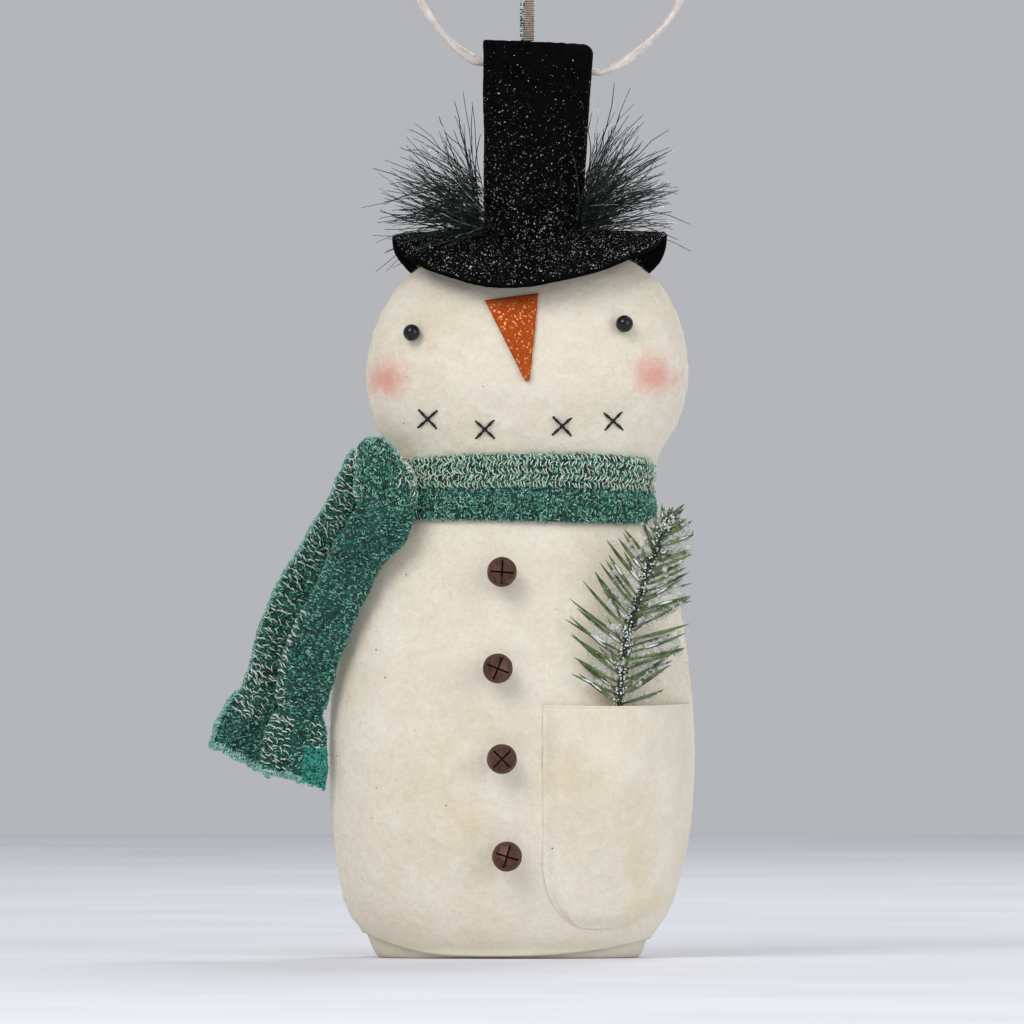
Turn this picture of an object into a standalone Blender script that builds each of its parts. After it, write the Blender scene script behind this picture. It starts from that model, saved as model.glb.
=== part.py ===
"""Stuffed cloth snowman: felt top hat, knitted scarf, jingle bell buttons and a pocket with a pine sprig.

Metres, +Z up. The front faces -Y and the pocket is on the +X side. The origin is the middle of the
flat base, so the figure stands on Z = 0.
"""

import math

import bmesh
import bpy
from mathutils import Matrix, Vector

# Driving dimensions, in metres.
GAP = 0.0003  # clearance between pieces that touch
FILL_GAP = 0.0008  # clearance between a filling and its cloth
CLOTH = 0.0016  # batting cloth of the figure and the pocket
FELT = 0.0018  # felt of the hat
SEGMENTS = 28  # facets round the figure and the hat
SQUARENESS = 2.5  # exponent of the figure's rounded-oval section
CROWN_SQUARENESS = 2.3
FINE = 0.0004  # step over which a surface's slope is read
RING_PITCH = 0.016  # furthest apart that the figure's rings are

# The stuffed figure: height, half width, half depth and sideways centre, from the base to the crown.
FIGURE = (
    (0.0060, 0.0470, 0.0270, -0.0012),
    (0.0140, 0.0535, 0.0320, -0.0012),
    (0.0320, 0.0590, 0.0360, -0.0005),
    (0.0620, 0.0620, 0.0370, 0.0),
    (0.0880, 0.0613, 0.0352, 0.0),
    (0.1120, 0.0582, 0.0318, 0.0003),
    (0.1340, 0.0530, 0.0270, 0.0008),
    (0.1500, 0.0465, 0.0230, 0.0016),
    (0.1600, 0.0430, 0.0215, 0.0026),
    (0.1700, 0.0455, 0.0235, 0.0042),
    (0.1820, 0.0515, 0.0280, 0.0050),
    (0.1960, 0.0548, 0.0310, 0.0052),
    (0.2100, 0.0533, 0.0300, 0.0054),
    (0.2220, 0.0488, 0.0265, 0.0059),
    (0.2320, 0.0408, 0.0205, 0.0062),
    (0.2380, 0.0305, 0.0140, 0.0062),
    (0.2412, 0.0190, 0.0085, 0.0062),
    (0.2425, 0.0100, 0.0045, 0.0062),
)
BAG_TOP = 0.0230  # the weight bag fills the figure below this height
BASE_HEIGHT = 0.0057
BASE_HALF = (0.0460, 0.0260)  # half width and half depth of the flat bottom
BASE_CENTRE = -0.0012
BOARD = 0.0036  # thickness of the base board

BRIM_CENTRE = (0.0060, 0.0, 0.2474)
BRIM_HALF = (0.0464, 0.0360)
BRIM_SIDE_DROP = 0.0040  # how far the brim falls at its side tips
BRIM_DROP = (0.0187, 0.0220)  # and at its front and its back
BRIM_FOLD = 1.4  # near 1 the brim folds down like a roof, at 2 it falls in a round arch
CROWN_TOP = 0.3110
CROWN_FOOT_HALF = (0.0168, 0.0135)
CROWN_TOP_HALF = (0.0186, 0.0145)
CROWN_FOOT_CENTRE = 0.0070
CROWN_TOP_CENTRE = 0.0089

HOOP_CENTRE = (0.0129, 0.3465)  # X and Z
HOOP_RADIUS = 0.0490
HOOP_WIRE = 0.0015
HOOP_HOLE = 0.0020  # radius of the tunnel through the hat
HOOP_LEFT = (-0.0126, 0.3047)  # where the wire turns into the hat, X and Z
HOOP_RIGHT = (0.0300, 0.3006)
HOOP_STEPS = 36
RIBBON_X = 0.0051
RIBBON_SIZE = (0.0048, 0.0006)
RIBBON_RINGS = 9
KNOT_STRAND = 0.0011  # radius of the ribbon's knot round the hoop's wire

GARLAND_REACH = math.radians(20)  # how far each end of the garland comes forward of the crown's sides
GARLAND_STEPS = 20
GARLAND_WIRE = 0.0009
GARLAND_OFF = 0.0032  # from the wire's middle to the crown's foot
# The tinsel's outline: how far it stands off the crown, and its height over the brim.
TINSEL = ((0.0012, 0.0036), (0.024, 0.0036), (0.026, 0.010), (0.017, 0.034), (0.007, 0.043), (0.0012, 0.040))
TINSEL_RISE = 0.010  # how far its outer foot may hang below the top of the brim

BAND_HEIGHTS = (0.1478, 0.1698)
BAND_THICKNESS = 0.0042
KNOT_CENTRE = (-0.0430, -0.0262, 0.1640)
KNOT_HALF = (0.0105, 0.0068, 0.0128)
TAIL_HALF_THICKNESS = 0.0028
# Each scarf tail runs from its pivot at the knot to its free end: X, Y, Z and half width.
OUTER_TAIL = (
    (-0.0530, -0.0085, 0.1630, 0.0068),
    (-0.0585, -0.0085, 0.1480, 0.0078),
    (-0.0650, -0.0085, 0.1300, 0.0084),
    (-0.0720, -0.0085, 0.1120, 0.0084),
    (-0.0780, -0.0085, 0.0980, 0.0082),
    (-0.0825, -0.0085, 0.0870, 0.0076),
    (-0.0880, -0.0085, 0.0785, 0.0086),
    (-0.0932, -0.0085, 0.0690, 0.0099),
)
INNER_TAIL = (
    (-0.0420, -0.0290, 0.1400, 0.0098),
    (-0.0500, -0.0275, 0.1300, 0.0092),
    (-0.0565, -0.0250, 0.1180, 0.0086),
    (-0.0620, -0.0225, 0.1060, 0.0084),
    (-0.0668, -0.0195, 0.0930, 0.0084),
    (-0.0695, -0.0170, 0.0850, 0.0080),
    (-0.0718, -0.0155, 0.0740, 0.0092),
    (-0.0742, -0.0150, 0.0618, 0.0108),
)

EYES = {"eye_left": (-0.0340, 0.2122), "eye_right": (0.0381, 0.2152)}
EYE_RADIUS = 0.0031
EYE_FLATNESS = 0.72
STITCHES = ((-0.0286, 0.1829, 40), (-0.0092, 0.1792, 48), (0.0170, 0.1805, 42), (0.0343, 0.1822, 47))
STITCH_HALF = (0.0044, 0.00045)  # half length and half thickness of a thread
NOSE_CORNERS = ((-0.0088, 0.2237), (0.0088, 0.2258), (0.0051, 0.1958))
NOSE_THICKNESS = 0.0012

BELL_RADIUS = 0.0050
BELL_WALL = 0.0005
BELL_SLOT = (0.0007, 0.0078)  # width and length of each arm pair of the cross slot
BELL_LOOP = (0.0008, 0.0003)  # ring and wire radius of the shank loop
PELLET_RADIUS = 0.0015
BELLS = ((-0.0034, 0.1312, 4), (-0.0048, 0.0986, 22), (-0.0034, 0.0680, 45), (-0.0017, 0.0350, 17))

POCKET_TOP = 0.0864
POCKET_BOTTOM = 0.0095
POCKET_BEND = 0.0360  # below this height the sides round into the bottom
POCKET_CENTRE = 0.0348
POCKET_HALF = 0.0242
POCKET_STAND_OFF = 0.0012  # from the body at its sewn edges
POCKET_BULGE = 0.0066  # how much further the mouth stands off the body
POCKET_SHUT = 0.0200  # below this height the pocket lies flat, and it opens over the next stretch
POCKET_OPENING = 0.0500
POCKET_ROUNDING = 2.4  # exponent of its lower corners
SPRIG_FOOT = (0.0350, -0.0368, 0.0600)
SPRIG_MOUTH = (0.0365, -0.0368, 0.0866)
SPRIG_STEM = 0.0009
# The needles' outline: height, lowest X, highest X and half depth.
NEEDLES = (
    (0.0872, 0.0250, 0.0430, 0.0020),
    (0.0930, 0.0200, 0.0530, 0.0036),
    (0.1080, 0.0215, 0.0580, 0.0042),
    (0.1210, 0.0205, 0.0600, 0.0042),
    (0.1350, 0.0270, 0.0615, 0.0040),
    (0.1460, 0.0380, 0.0605, 0.0034),
    (0.1540, 0.0470, 0.0560, 0.0018),
)

PALETTE = {
    "batting": ((0.80, 0.72, 0.56), 0.95, 0.0),
    "stuffing": ((0.85, 0.84, 0.80), 0.95, 0.0),
    "black_felt": ((0.012, 0.012, 0.014), 0.85, 0.0),
    "orange_felt": ((0.62, 0.13, 0.02), 0.75, 0.0),
    "knit": ((0.03, 0.22, 0.17), 0.90, 0.0),
    "bead": ((0.01, 0.01, 0.012), 0.12, 0.0),
    "thread": ((0.015, 0.014, 0.016), 0.70, 0.0),
    "rust": ((0.11, 0.045, 0.03), 0.70, 0.6),
    "tinsel": ((0.02, 0.05, 0.03), 0.35, 0.0),
    "pine": ((0.10, 0.16, 0.06), 0.55, 0.0),
    "plywood": ((0.55, 0.38, 0.20), 0.70, 0.0),
    "satin": ((0.66, 0.58, 0.52), 0.40, 0.0),
    "steel": ((0.45, 0.45, 0.45), 0.35, 1.0),
}


def clear_scene():
    """Removes every object the file opened with."""
    for ob in list(bpy.data.objects):
        bpy.data.objects.remove(ob, do_unlink=True)


def new_collection(name):
    group = bpy.data.collections.new(name)
    bpy.context.scene.collection.children.link(group)
    return group


def make_materials():
    for name, (colour, roughness, metallic) in PALETTE.items():
        mat = bpy.data.materials.new(name)
        mat.use_nodes = True
        shader = mat.node_tree.nodes["Principled BSDF"]
        shader.inputs["Base Color"].default_value = (*colour, 1.0)
        shader.inputs["Roughness"].default_value = roughness
        shader.inputs["Metallic"].default_value = metallic


def link_object(ob, material, group=None):
    """Gives a new object its material and puts it among the parts."""
    (group or PARTS).objects.link(ob)
    if material:
        ob.data.materials.append(bpy.data.materials[material])
    return ob


def from_bmesh(name, bm, material, origin=(0, 0, 0)):
    """Turns a bmesh in world coordinates into an object whose origin is at the given point."""
    bmesh.ops.recalc_face_normals(bm, faces=bm.faces)
    bmesh.ops.translate(bm, verts=bm.verts, vec=-Vector(origin))
    mesh = bpy.data.meshes.new(name)
    bm.to_mesh(mesh)
    bm.free()
    mesh.shade_smooth()
    ob = bpy.data.objects.new(name, mesh)
    ob.location = origin
    return link_object(ob, material)


def loft(name, rings, material, caps=True, looped=False, closed=True, origin=(0, 0, 0)):
    """Skins a list of rings. looped joins the last ring to the first, closed joins each ring's ends."""
    bm = bmesh.new()
    rows = [[bm.verts.new(p) for p in ring] for ring in rings]
    pairs = list(zip(rows, rows[1:]))
    if looped:
        pairs.append((rows[-1], rows[0]))
    for low, high in pairs:
        count = len(low)
        for i in range(count if closed else count - 1):
            j = (i + 1) % count
            bm.faces.new((low[i], low[j], high[j], high[i]))
    if caps:
        bm.faces.new(rows[0])
        bm.faces.new(rows[-1])
    return from_bmesh(name, bm, material, origin)


def solidify(ob, thickness, outward):
    mod = ob.modifiers.new("thickness", "SOLIDIFY")
    mod.thickness = thickness
    mod.offset = 1.0 if outward else -1.0
    return ob


def cut(ob, cutter):
    mod = ob.modifiers.new("cut_" + cutter.name, "BOOLEAN")
    mod.operation = "DIFFERENCE"
    mod.object = cutter
    return ob


def box_cutter(name, low, high):
    """A cutter box between two corners."""
    bm = bmesh.new()
    bmesh.ops.create_cube(bm, size=1.0)
    middle = (Vector(low) + Vector(high)) / 2
    size = Vector(high) - Vector(low)
    bmesh.ops.transform(bm, verts=bm.verts, matrix=Matrix.Translation(middle) @ Matrix.Diagonal((*size, 1)))
    return as_cutter(name, bm)


def rod_cutter(name, start, end, radius):
    """A round cutter along a line, run past both of its ends."""
    along = Vector(end) - Vector(start)
    bm = bmesh.new()
    bmesh.ops.create_cone(
        bm, cap_ends=True, segments=12, radius1=radius, radius2=radius, depth=along.length + 0.010
    )
    turn = along.to_track_quat("Z", "Y").to_matrix().to_4x4()
    middle = Matrix.Translation((Vector(start) + Vector(end)) / 2)
    bmesh.ops.transform(bm, verts=bm.verts, matrix=middle @ turn)
    return as_cutter(name, bm)


def as_cutter(name, bm):
    mesh = bpy.data.meshes.new(name)
    bm.to_mesh(mesh)
    bm.free()
    ob = bpy.data.objects.new(name, mesh)
    ob.hide_render = True
    ob.display_type = "WIRE"
    CUTTERS.objects.link(ob)
    return ob


def empty_at(name, place):
    """An empty on a joint's axis, which the moving pieces are parented to."""
    ob = bpy.data.objects.new(name, None)
    ob.location = place
    ob.empty_display_size = 0.01
    PARTS.objects.link(ob)
    return ob


def hold(ob, parent):
    """Parents an object to an empty without moving it."""
    ob.parent = parent
    ob.location = ob.location - parent.location
    return ob


def smoothstep(t):
    t = max(0.0, min(1.0, t))
    return t * t * (3 - 2 * t)


def table_at(rows, where):
    """Reads a table of stations, by its first column, on one smooth curve through them."""

    def slope(i, column):
        low, high = rows[max(0, i - 1)], rows[min(len(rows) - 1, i + 1)]
        return (high[column] - low[column]) / (high[0] - low[0])

    i = max(1, min(len(rows) - 1, sum(row[0] <= where for row in rows)))
    low, high = rows[i - 1], rows[i]
    span = high[0] - low[0]
    t = (where - low[0]) / span
    values = []
    for column in range(1, len(low)):
        start = low[column] * (2 * t**3 - 3 * t**2 + 1) + slope(i - 1, column) * span * (t**3 - 2 * t**2 + t)
        end = high[column] * (3 * t**2 - 2 * t**3) + slope(i, column) * span * (t**3 - t**2)
        values.append(start + end)
    return values


def signed_power(value, power):
    return math.copysign(abs(value) ** power, value)


def oval(centre, half, z, angle, squareness=2.0):
    """A point on a rounded oval at height z."""
    power = 2.0 / squareness
    x = centre[0] + half[0] * signed_power(math.cos(angle), power)
    y = centre[1] + half[1] * signed_power(math.sin(angle), power)
    return Vector((x, y, z))


def turns(count, start=0.0, end=2 * math.pi):
    """Angles round a closed ring."""
    return [start + (end - start) * i / count for i in range(count)]


def figure_point(z, angle, grow=0.0):
    """A point on the figure's cloth, or grown off it."""
    half_width, half_depth, centre = table_at(FIGURE, z)
    return oval((centre, 0.0), (half_width + grow, half_depth + grow), z, angle, SQUARENESS)


def figure_ring(z, grow=0.0):
    return [figure_point(z, a, grow) for a in turns(SEGMENTS)]


def inner_ring(z, inset, low, high):
    """A ring set back from the cloth along its normal, kept between two heights."""
    spread = 0.05
    ring = []
    for a in turns(SEGMENTS):
        around = figure_point(z, a + spread) - figure_point(z, a - spread)
        up = figure_point(min(z + FINE, FIGURE[-1][0]), a) - figure_point(max(z - FINE, FIGURE[0][0]), a)
        point = figure_point(z, a) - around.cross(up).normalized() * inset
        point.z = max(low, min(high, point.z))
        ring.append(point)
    return ring


def front_angle(x, z):
    """The section angle of the front cloth at a place seen from the front."""
    half_width, _, centre = table_at(FIGURE, z)
    share = max(-1.0, min(1.0, (x - centre) / half_width))
    return -math.acos(signed_power(share, SQUARENESS / 2.0))


def front_point(x, z, grow=0.0):
    """The point of the front cloth behind a place seen from the front."""
    return figure_point(z, front_angle(x, z), grow)


def front_normal(x, z):
    """The front cloth's outward normal."""
    across = front_point(x + FINE, z) - front_point(x - FINE, z)
    up = front_point(x, z + FINE) - front_point(x, z - FINE)
    return across.cross(up).normalized()


def figure_heights(low, high, most=RING_PITCH):
    """Heights of the figure's rings: its stations, and more between those far apart."""
    levels = [low] + [row[0] for row in FIGURE if low + 0.001 < row[0] < high - 0.001] + [high]
    heights = []
    for a, b in zip(levels, levels[1:]):
        steps = max(1, math.ceil((b - a) / most))
        heights += [a + (b - a) * i / steps for i in range(steps)]
    return heights + [high]


def make_figure():
    """Cloth panels that meet at the side seam, the base, and what fills them."""
    bottom, top = FIGURE[0][0], FIGURE[-1][0]
    side = 0.1  # reaches past the figure every way
    halves = {
        "body_front_panel": box_cutter("behind_seam", (-side, -GAP / 2, -side), (side, side, 4 * side)),
        "body_back_panel": box_cutter("before_seam", (-side, -side, -side), (side, GAP / 2, 4 * side)),
    }
    rings = [figure_ring(z) for z in figure_heights(bottom, top)]
    for name, cutter in halves.items():
        cut(solidify(loft(name, rings, "batting", caps=False), CLOTH, outward=False), cutter)

    inset = CLOTH + FILL_GAP
    floor = BAG_TOP + GAP
    filled = [inner_ring(z, inset, floor, top) for z in figure_heights(floor, top - CLOTH)]
    loft("body_stuffing", filled, "stuffing")
    bag = [inner_ring(z, inset, bottom + GAP, BAG_TOP) for z in figure_heights(bottom, BAG_TOP, 0.006)]
    loft("weight_bag", bag, "stuffing")


def base_ring(z, grow):
    half = (BASE_HALF[0] + grow, BASE_HALF[1] + grow)
    return [oval((BASE_CENTRE, 0.0), half, z, a, SQUARENESS) for a in turns(SEGMENTS)]


def make_base():
    """A cloth dish, flat underneath, with the board lying in it."""
    flare = 0.0010
    corner = 0.0010
    rings = (
        base_ring(0.0, -corner),
        base_ring(corner, 0.0),
        base_ring(BASE_HEIGHT, flare),
        base_ring(BASE_HEIGHT, flare - CLOTH),
        base_ring(CLOTH, -corner - CLOTH / 2),
    )
    loft("base_panel", rings, "batting")
    floor = CLOTH + GAP
    inside = -corner - CLOTH / 2 - 2 * GAP
    loft("base_board", (base_ring(floor, inside), base_ring(floor + BOARD, inside)), "plywood")


def brim_height(x, y):
    """Height of the brim's upper side, which falls a little sideways and more to front and back."""
    across = (x - BRIM_CENTRE[0]) / BRIM_HALF[0]
    along = abs(y) / BRIM_HALF[1]
    drop = BRIM_DROP[0] if y < 0 else BRIM_DROP[1]
    return BRIM_CENTRE[2] - BRIM_SIDE_DROP * across**2 - drop * along**BRIM_FOLD


def on_brim(point, lift):
    return Vector((point.x, point.y, brim_height(point.x, point.y) + lift))


def crown_ring(share, z, shrink=1.0, grow=0.0):
    """A ring of the hat's crown, from its foot at share 0 to its top at 1."""
    centre = CROWN_FOOT_CENTRE + (CROWN_TOP_CENTRE - CROWN_FOOT_CENTRE) * share
    half = [
        (low + (high - low) * share) * shrink + grow for low, high in zip(CROWN_FOOT_HALF, CROWN_TOP_HALF)
    ]
    return [oval((centre, 0.0), half, z, a, CROWN_SQUARENESS) for a in turns(SEGMENTS)]


def make_hat():
    bm = bmesh.new()
    middle = bm.verts.new(BRIM_CENTRE)
    rows = []
    for share in (0.3, 0.55, 0.8, 1.0):
        half = [share * h for h in BRIM_HALF]
        ring = [on_brim(oval(BRIM_CENTRE, half, 0.0, a), 0.0) for a in turns(SEGMENTS)]
        rows.append([bm.verts.new(point) for point in ring])
    for i in range(SEGMENTS):
        j = (i + 1) % SEGMENTS
        bm.faces.new((middle, rows[0][i], rows[0][j]))
        for low, high in zip(rows, rows[1:]):
            bm.faces.new((low[i], high[i], high[j], low[j]))
    solidify(from_bmesh("hat_brim", bm, "black_felt"), FELT, outward=False)

    # The wall rises to a rounded shoulder, then a nearly flat top.
    foot = BRIM_CENTRE[2]
    shoulders = ((0.5, 1.0), (0.93, 1.0), (0.975, 0.96), (1.0, 0.84))
    span = CROWN_TOP - foot
    outside, inside = crown_ring(0.0, foot), crown_ring(0.0, foot, grow=-FELT)
    rings = [[Vector((p.x, p.y, on_brim(q, 3 * GAP).z)) for p, q in zip(outside, inside)]]
    rings += [crown_ring(share, foot + share * span, shrink) for share, shrink in shoulders]
    shell = loft("hat_crown", rings, "black_felt", caps=False)
    bm = bmesh.new()
    bm.from_mesh(shell.data)
    rim = [e for e in bm.edges if e.is_boundary and e.verts[0].co.z > CROWN_TOP - GAP]
    bmesh.ops.holes_fill(bm, edges=rim)
    bmesh.ops.recalc_face_normals(bm, faces=bm.faces)
    bm.to_mesh(shell.data)
    bm.free()
    solidify(shell, FELT, outward=False)

    inset = -(FELT + 2 * GAP)
    inner = [crown_ring(0.0, foot + GAP, grow=inset)]
    for share, shrink in ((0.5, 1.0), (0.9, 1.0), (0.96, 0.93)):
        inner.append(crown_ring(share, foot + share * span, shrink, inset))
    stuffing = loft("hat_stuffing", inner, "stuffing")

    tunnel = rod_cutter("hoop_tunnel", xz(HOOP_LEFT), xz(HOOP_RIGHT), HOOP_HOLE)
    cut(shell, tunnel)
    cut(stuffing, tunnel)


def xz(place, y=0.0):
    return Vector((place[0], y, place[1]))


def tube(name, points, radius, material, origin=(0, 0, 0), cyclic=False):
    """A round wire through the given world points."""
    curve = bpy.data.curves.new(name, "CURVE")
    curve.dimensions = "3D"
    curve.bevel_depth = radius
    curve.bevel_resolution = 2
    curve.use_fill_caps = True
    spline = curve.splines.new("POLY")
    spline.points.add(len(points) - 1)
    for target, point in zip(spline.points, points):
        target.co = (*(Vector(point) - Vector(origin)), 1.0)
    spline.use_cyclic_u = cyclic
    ob = bpy.data.objects.new(name, curve)
    ob.location = origin
    return link_object(ob, material)


def make_hanger():
    """A wire hoop that passes through the hat, and the ribbon up to the loop knot on the hoop."""
    left, right = xz(HOOP_LEFT), xz(HOOP_RIGHT)
    centre = xz(HOOP_CENTRE)
    start = math.atan2(right.z - centre.z, right.x - centre.x)
    end = math.atan2(left.z - centre.z, left.x - centre.x) + 2 * math.pi
    points = [left.lerp(right, share) for share in (1 / 3, 2 / 3)]
    for i in range(HOOP_STEPS + 1):
        a = start + (end - start) * i / HOOP_STEPS
        points.append(centre + HOOP_RADIUS * Vector((math.cos(a), 0.0, math.sin(a))))
    axis_point = (left + right) / 2
    pivot = empty_at("hoop_hinge", axis_point)
    hold(tube("hanger_hoop", points, HOOP_WIRE, "satin", axis_point, cyclic=True), pivot)

    top = HOOP_CENTRE[1] + math.sqrt(HOOP_RADIUS**2 - (RIBBON_X - HOOP_CENTRE[0]) ** 2)
    ring = HOOP_WIRE + KNOT_STRAND + GAP
    lean = math.atan2(HOOP_CENTRE[0] - RIBBON_X, top - HOOP_CENTRE[1])
    bpy.ops.mesh.primitive_torus_add(
        location=(RIBBON_X, 0.0, top),
        rotation=(0.0, math.pi / 2 - lean, 0.0),
        major_radius=ring,
        minor_radius=KNOT_STRAND,
        major_segments=16,
        minor_segments=8,
    )
    knot = bpy.context.object
    for group in list(knot.users_collection):
        group.objects.unlink(knot)
    knot.name = "hanger_knot"
    hold(link_object(knot, "satin"), pivot)

    low, high = CROWN_TOP + GAP, top - ring - KNOT_STRAND - GAP
    half = [size / 2 for size in RIBBON_SIZE]
    corners = ((-1, -1), (1, -1), (1, 1), (-1, 1))
    rings = []
    for i in range(RIBBON_RINGS):
        z = low + (high - low) * i / (RIBBON_RINGS - 1)
        rings.append([Vector((RIBBON_X + sx * half[0], sy * half[1], z)) for sx, sy in corners])
    loft("hanger_ribbon", rings, "satin")


def make_garland():
    """A wire that lies behind the crown's foot, and the tinsel that stands on it."""
    sweep = math.pi + 2 * GARLAND_REACH
    angles = [-GARLAND_REACH + sweep * i / GARLAND_STEPS for i in range(GARLAND_STEPS + 1)]

    def off_crown(angle, away, lift):
        half = [h + away for h in CROWN_FOOT_HALF]
        return on_brim(oval((CROWN_FOOT_CENTRE, 0.0), half, 0.0, angle, CROWN_SQUARENESS), lift)

    wire = [off_crown(a, GARLAND_OFF, GARLAND_WIRE + GAP) for a in angles]
    tube("garland_wire", wire, GARLAND_WIRE, "tinsel")
    height = CROWN_TOP - BRIM_CENTRE[2]
    spread = (CROWN_TOP_HALF[0] - CROWN_FOOT_HALF[0]) / height
    lean = (CROWN_TOP_CENTRE - CROWN_FOOT_CENTRE) / height
    rings = []
    for a in angles:
        ring = []
        for away, lift in TINSEL:
            point = off_crown(a, away + lift * spread, lift)
            point.z = max(point.z, BRIM_CENTRE[2] + lift - TINSEL_RISE)
            point.x += lean * lift
            ring.append(point)
        rings.append(ring)
    loft("garland_tinsel", rings, "tinsel")


def make_face():
    lift = EYE_RADIUS * EYE_FLATNESS + GAP
    for name, (x, z) in EYES.items():
        normal = front_normal(x, z)
        bm = bmesh.new()
        bmesh.ops.create_uvsphere(bm, u_segments=16, v_segments=8, radius=EYE_RADIUS)
        flat = Matrix.Diagonal((1.0, 1.0, EYE_FLATNESS, 1.0))
        turn = normal.to_track_quat("Z", "Y").to_matrix().to_4x4()
        # The bead stands off the cloth, so its seat is set back for it to be seen at its place.
        place = front_point(x - normal.x * lift, z - normal.z * lift) + normal * lift
        bmesh.ops.transform(bm, verts=bm.verts, matrix=Matrix.Translation(place) @ turn @ flat)
        from_bmesh(name, bm, "bead", place)

    half_length, half = STITCH_HALF
    for number, (x, z, turn) in enumerate(STITCHES, 1):
        name = f"mouth_stitch_{number}"
        curve = bpy.data.curves.new(name, "CURVE")
        curve.dimensions = "2D"
        curve.fill_mode = "BOTH"
        curve.extrude = half
        spline = curve.splines.new("POLY")
        arm = ((half_length, -half), (half_length, half), (half, half))
        outline = [Matrix.Rotation(q * math.pi / 2, 2) @ Vector(p) for q in range(4) for p in arm]
        spline.points.add(len(outline) - 1)
        for target, point in zip(spline.points, outline):
            target.co = (*point, 0.0, 1.0)
        spline.use_cyclic_u = True
        ob = bpy.data.objects.new(name, curve)
        normal = front_normal(x, z)
        ob.location = front_point(x, z) + normal * (half + 2 * GAP)
        spin = Matrix.Rotation(math.radians(turn), 4, "Z")
        ob.rotation_euler = (normal.to_track_quat("Z", "Y").to_matrix().to_4x4() @ spin).to_euler()
        link_object(ob, "thread")

    left, right, tip = (Vector(corner) for corner in NOSE_CORNERS)
    blunt = 0.96  # the point is cut off at this share of the way down
    rows, columns = 6, 4
    rings = []
    for i in range(rows + 1):
        ring = []
        for j in range(columns + 1):
            x, z = left.lerp(right, j / columns).lerp(tip, blunt * i / rows)
            ring.append(front_point(x, z, 3 * GAP))
        rings.append(ring)
    patch("nose", rings, NOSE_THICKNESS, "orange_felt")


def patch(name, rows, thickness, material):
    """A cloth patch over the front: an open grid, thickened away from the body."""
    ob = loft(name, rows, material, caps=False, closed=False)
    if sum((face.normal.y for face in ob.data.polygons)) > 0:
        ob.data.flip_normals()
    return solidify(ob, thickness, outward=True)


def make_pocket():
    """A pocket with rounded bottom corners, sewn down except at its mouth, which stands open."""
    columns, rows = 12, 14
    crowding = 0.7  # below 1, the rows crowd towards the rounded bottom
    fullness = 1.5  # above 1, the bulge is full across and falls off only near the sides
    rings = []
    for i in range(rows):
        z = POCKET_TOP + (POCKET_BOTTOM - POCKET_TOP) * (i / (rows - 1)) ** crowding
        below = max(0.0, (POCKET_BEND - z) / (POCKET_BEND - POCKET_BOTTOM + GAP))
        half = POCKET_HALF * (1 - below**POCKET_ROUNDING) ** (1 / POCKET_ROUNDING)
        start, end = (front_angle(POCKET_CENTRE + side * half, z) for side in (-1, 1))
        open_share = smoothstep((z - POCKET_SHUT) / POCKET_OPENING)
        ring = []
        for j in range(columns + 1):
            share = j / columns
            bulge = POCKET_BULGE * open_share * min(1.0, fullness * math.sin(math.pi * share))
            angle = start + (end - start) * share
            ring.append(figure_point(z, angle, POCKET_STAND_OFF + bulge))
        rings.append(ring)
    patch("pocket_patch", rings, CLOTH, "batting")


def make_sprig():
    """The sprig stands in the pocket by its straight stem, and lifts out along it."""
    foot, mouth = Vector(SPRIG_FOOT), Vector(SPRIG_MOUTH)
    pivot = empty_at("sprig_slide", mouth)
    stem = [foot.lerp(mouth, i / 4) for i in range(5)]
    hold(tube("sprig_stem", stem, SPRIG_STEM, "pine", mouth), pivot)
    rings = []
    for z, low, high, half in NEEDLES:
        middle = ((low + high) / 2, mouth.y - SPRIG_STEM)
        rings.append([oval(middle, ((high - low) / 2, half), z, a) for a in turns(12)])
    hold(loft("sprig_needles", rings, "pine", origin=mouth), pivot)


def make_scarf():
    """The band follows the neck; the knot sits on its left front, and two tails hang from the knot."""
    low, high = BAND_HEIGHTS
    middle, half = (low + high) / 2, (high - low) / 2
    off, boxiness = 3 * GAP, 0.6
    back_steps, front_steps = 5, 8
    rings = [figure_ring(low + (high - low) * i / back_steps, off) for i in range(back_steps + 1)]
    for i in range(1, front_steps):
        a = math.pi * i / front_steps
        bulge = BAND_THICKNESS * math.sin(a) ** boxiness
        rings.append(figure_ring(middle + half * math.cos(a), off + bulge))
    loft("scarf_neck_band", rings, "knit", caps=False, looped=True)

    bm = bmesh.new()
    bmesh.ops.create_uvsphere(bm, u_segments=16, v_segments=10, radius=1.0)
    size = Matrix.Diagonal((*KNOT_HALF, 1.0))
    bmesh.ops.transform(bm, verts=bm.verts, matrix=Matrix.Translation(KNOT_CENTRE) @ size)
    from_bmesh("scarf_knot", bm, "knit")

    for name, stations in (("scarf_tail_outer", OUTER_TAIL), ("scarf_tail_inner", INNER_TAIL)):
        make_tail(name, stations)


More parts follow.
